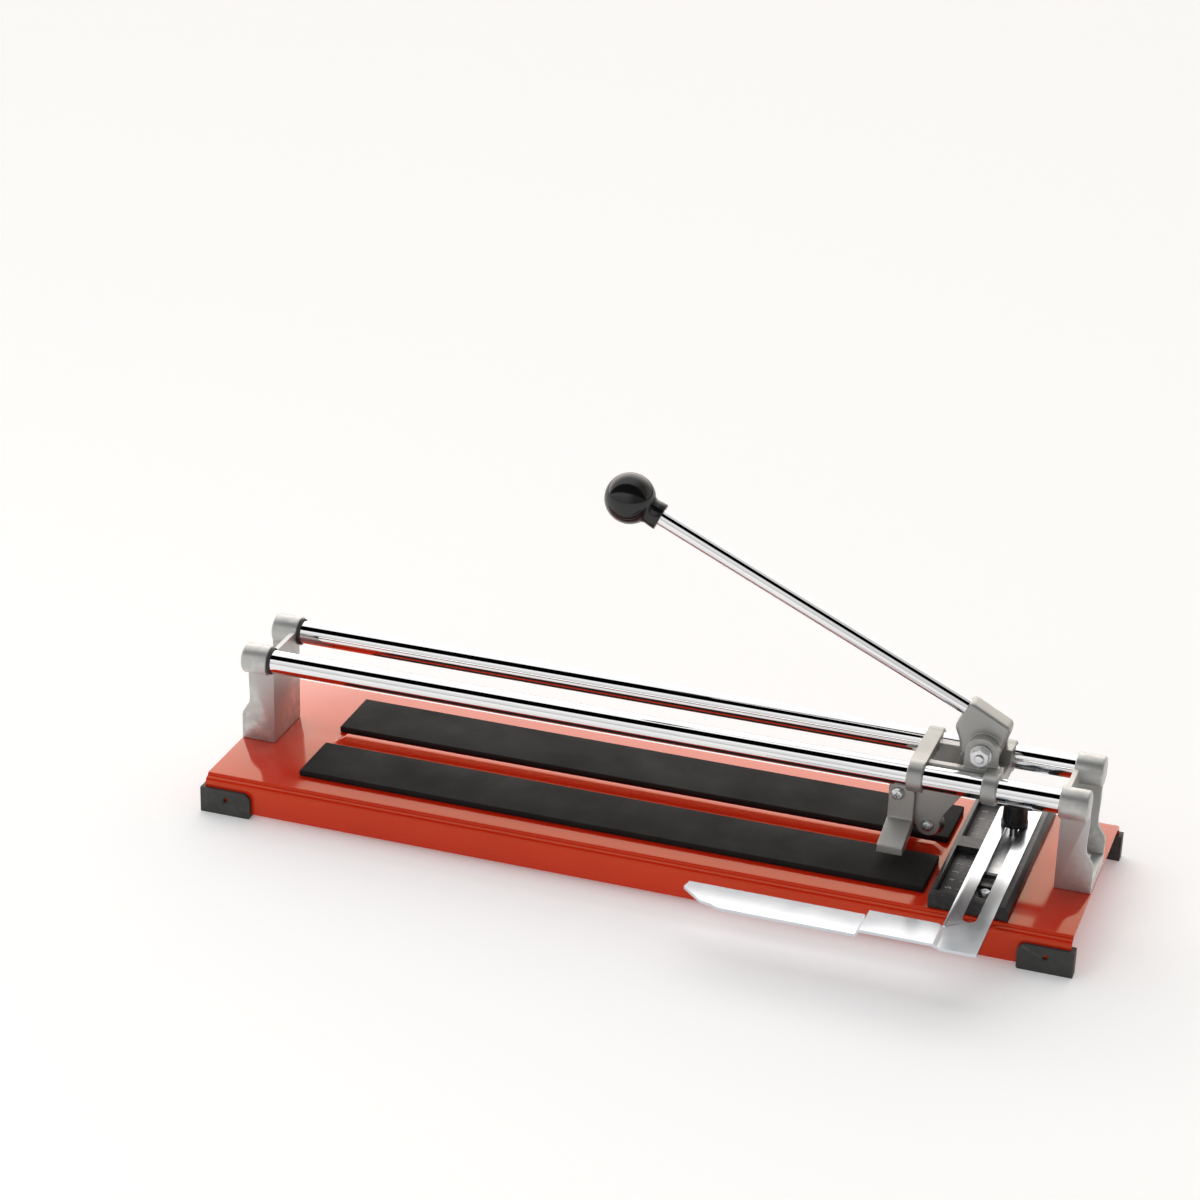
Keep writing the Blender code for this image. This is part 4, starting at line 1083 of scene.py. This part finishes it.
def make_stop():
    """One bright sheet: a slotted arm, a link stepped up off it, and a pointed fence stepped down."""
    low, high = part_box("stop_arm")
    thick = 1.8 * MM
    centre = middle("clamp_knob").x
    right = high.x
    left = 2 * centre - right
    slot = 4.1 * MM
    front, back = CUT_LINE - 130 * MM, CUT_LINE - 106.4 * MM
    step = (158.5 * MM, 156.1 * MM)
    tip = low.x + 1.2 * MM
    corner = 1.5 * MM
    outline = arc((right - corner, low.y + corner), corner, -90, 0, 4)
    outline += [(right, high.y), (centre + slot + 1 * MM, high.y - corner)]
    outline += [(centre + slot, high.y - 2.5 * MM)]
    outline += arc((centre, CUT_LINE - 93 * MM), slot, 0, -180, 20)
    outline += [(centre - slot, high.y - 3.5 * MM), (centre - slot - 2 * MM, high.y - corner)]
    outline += [(left + corner, high.y - corner), (left, high.y - 3 * MM)]
    outline += [(left, back + 0.6 * MM)] + arc((left + 0.6 * MM, back - 1.1 * MM), 1.3 * MM, 100, -80, 8)
    outline += [(left - 0.6 * MM, back - 1.6 * MM), (left - 2.2 * MM, back)]
    outline += [(step[0], back), (step[1], back), (tip, back), (low.x, back - 7 * MM)]
    outline += [(tip + 12 * MM, front + 4.5 * MM)]
    outline += arc((tip + 27 * MM, front + 12 * MM), 12 * MM, 230, 270, 6)
    outline += [(step[1], front), (step[0], front), (left - 0.4 * MM, front)]
    outline += [(left + 2 * MM, front), (left + 3.5 * MM, low.y)]
    sheet = plate("stop", outline, thick / 2, (0, 0, high.z - thick / 2), "Z")
    ridge = (left - 0.2 * MM, left + 2.2 * MM)
    for x in ridge + step:
        slice_at(sheet, (x, 0, 0), ALONG)
    lift = 1.3 * MM
    drop = high.z - thick - low.z
    for vertex in sheet.data.vertices:
        if vertex.co.y < back + 0.3 * MM:
            rise = (ridge[1] - vertex.co.x) / (ridge[1] - ridge[0])
            vertex.co.z += lift * min(max(rise, 0), 1)
        if vertex.co.x < (step[0] + step[1]) / 2:
            vertex.co.z -= lift + drop
    soften(sheet, 0.22 * MM, 2, 45)
    hand_over(sheet, "side_stop", ZINC, "stop", ["stop_arm"], 15)


def make_clamp():
    """A fluted plastic knob on the bolt that comes up through the guide."""
    low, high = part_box("clamp_knob")
    base_radius = (high.x - low.x) / 2
    top_radius = base_radius - 1 * MM
    height = high.z - low.z
    turn = 2 * MM
    shoulder = height - 2.2 * MM
    rings = [(base_radius - 0.4 * MM, 0), (base_radius, 0.4 * MM), (base_radius, 2 * MM)]
    rings += [(base_radius - 0.5 * MM, 2.6 * MM)]
    rings += arc((top_radius - turn, shoulder), turn, 0, 90, 6)
    rings += [(top_radius - 2.8 * MM, height - 0.45 * MM), (0.5 * MM, height - 0.5 * MM)]
    foot = Vector((middle("clamp_knob").x, middle("clamp_knob").y, low.z))
    knob = turned("knob", rings, foot, UP, 96)
    flutes = []
    count = 16
    for step in range(count):
        angle = 2 * math.pi * step / count
        place = foot + Vector((math.cos(angle), math.sin(angle), 0)) * (top_radius + 1.15 * MM)
        flutes.append(bar("flute", 1.3 * MM, place + 3.2 * MM * UP, place + (height - 1.9 * MM) * UP, 16))
    carve(knob, join("flutes", flutes))
    carve(knob, bar("bore", 2.6 * MM, foot - 1 * MM * UP, foot + 11.4 * MM * UP, 40))
    hand_over(knob, "fluted_knob", PLASTIC, "knob", ["clamp_knob"], 35)
    bolt = frame["nodes"]["clamp_bolt"]
    bolt.data.materials.clear()
    bolt.data.materials.append(FASTENER)


# ---- floor, light and camera

def make_floor():
    deselect_all()
    bpy.ops.mesh.primitive_plane_add(size=14, location=(0, 0, 0))
    floor = bpy.context.object
    floor.name = "studio_floor"
    material = bpy.data.materials.new("pale floor")
    material.use_nodes = True
    shader = material.node_tree.nodes["Principled BSDF"]
    shader.inputs["Base Color"].default_value = (0.93, 0.93, 0.93, 1)
    shader.inputs["Roughness"].default_value = 0.9
    shader.inputs["Emission Color"].default_value = (1, 1, 1, 1)
    shader.inputs["Emission Strength"].default_value = 0.2
    floor.data.materials.append(material)


def make_room():
    """A white room with a dark strip overhead, running along the tubes, and a darker ground line."""
    world = bpy.data.worlds.new("white room")
    world.use_nodes = True
    bpy.context.scene.world = world
    tree = world.node_tree
    background = tree.nodes["Background"]
    split = tree.nodes.new("ShaderNodeSeparateXYZ")
    tree.links.new(tree.nodes.new("ShaderNodeTexCoord").outputs["Generated"], split.inputs[0])
    turn = math_node(tree, "ARCTAN2", split.outputs["Z"], split.outputs["Y"])
    tone = tree.nodes.new("ShaderNodeValToRGB")
    tree.links.new(ramp(tree, turn, -math.pi, math.pi), tone.inputs["Fac"])
    stops = tone.color_ramp.elements
    for end in (0, 1):
        stops[end].position = end
        stops[end].color = (0.55, 0.55, 0.55, 1)
    for degrees, value, warmth in ROOM_TONES:
        stop = stops.new((degrees + 180) / 360)
        stop.color = (value, value * (1 + warmth) / 2, value * warmth, 1)
    tree.links.new(tone.outputs["Color"], background.inputs["Color"])
    tree.links.new(ramp(tree, split.outputs["X"], 0.05, 0.6, 1, 0.3), background.inputs["Strength"])
    plain = tree.nodes.new("ShaderNodeBackground")
    plain.inputs["Color"].default_value = (1, 1, 1, 1)
    plain.inputs["Strength"].default_value = 1
    choose = tree.nodes.new("ShaderNodeMixShader")
    tree.links.new(tree.nodes.new("ShaderNodeLightPath").outputs["Is Camera Ray"], choose.inputs["Fac"])
    tree.links.new(background.outputs[0], choose.inputs[1])
    tree.links.new(plain.outputs[0], choose.inputs[2])
    tree.links.new(choose.outputs[0], tree.nodes["World Output"].inputs["Surface"])


# Tone of the room round the tubes' direction, as degrees, brightness and blue against red:
# 0 is behind the cutter, 90 overhead and 180 in front
ROOM_TONES = (
    (-8, 0.4, 1),
    (-3, 0.15, 1),
    (1, 0.15, 1),
    (6, 2.5, 0.88),
    (38, 2.5, 0.88),
    (58, 1.2, 1),
    (92, 1.2, 1),
    (94, 0, 1),
    (136, 0, 1),
    (139, 1.1, 1),
    (174, 0.7, 1),
)


def make_light(name, place, target, size, power):
    data = bpy.data.lights.new(name, "AREA")
    data.shape = "RECTANGLE"
    data.size, data.size_y = size
    data.energy = power
    light = bpy.data.objects.new(name, data)
    light.location = place
    light.rotation_euler = (Vector(target) - Vector(place)).to_track_quat("-Z", "Y").to_euler()
    light.visible_glossy = False
    bpy.context.scene.collection.objects.link(light)


def make_camera():
    data = bpy.data.cameras.new("camera")
    data.lens = 96.69
    data.sensor_width = 36
    data.clip_end = 50
    camera = bpy.data.objects.new("camera", data)
    bpy.context.scene.collection.objects.link(camera)
    turn = Matrix.Rotation(math.radians(17.994), 4, "Z")
    turn @= Matrix.Rotation(math.radians(90 - 24.476), 4, "X")
    turn @= Matrix.Rotation(math.radians(1.813), 4, "Z")
    camera.matrix_world = Matrix.Translation(at(500.32, -1672.05, 950.36)) @ turn
    bpy.context.scene.camera = camera
    bpy.context.scene.view_settings.view_transform = "Standard"


make_base()
make_feet()
make_pads()
make_tubes()
make_bracket()
make_bracket_screws()
make_buffers()
make_carriage()
make_lever_head()
make_handle()
make_pivot_set()
make_wheel()
make_lever_screws()
make_breaker_foot()
make_guide()
make_rule()
make_channel_strip()
make_stop()
make_clamp()

make_floor()
make_room()
make_light("key", (-0.9, -1.1, 1.7), (0, 0, 0.03), (1.2, 1.2), 6.5)
make_light("fill", (1.6, -0.9, 0.9), (0.1, 0, 0.05), (1.4, 1.0), 0.4)
make_camera()
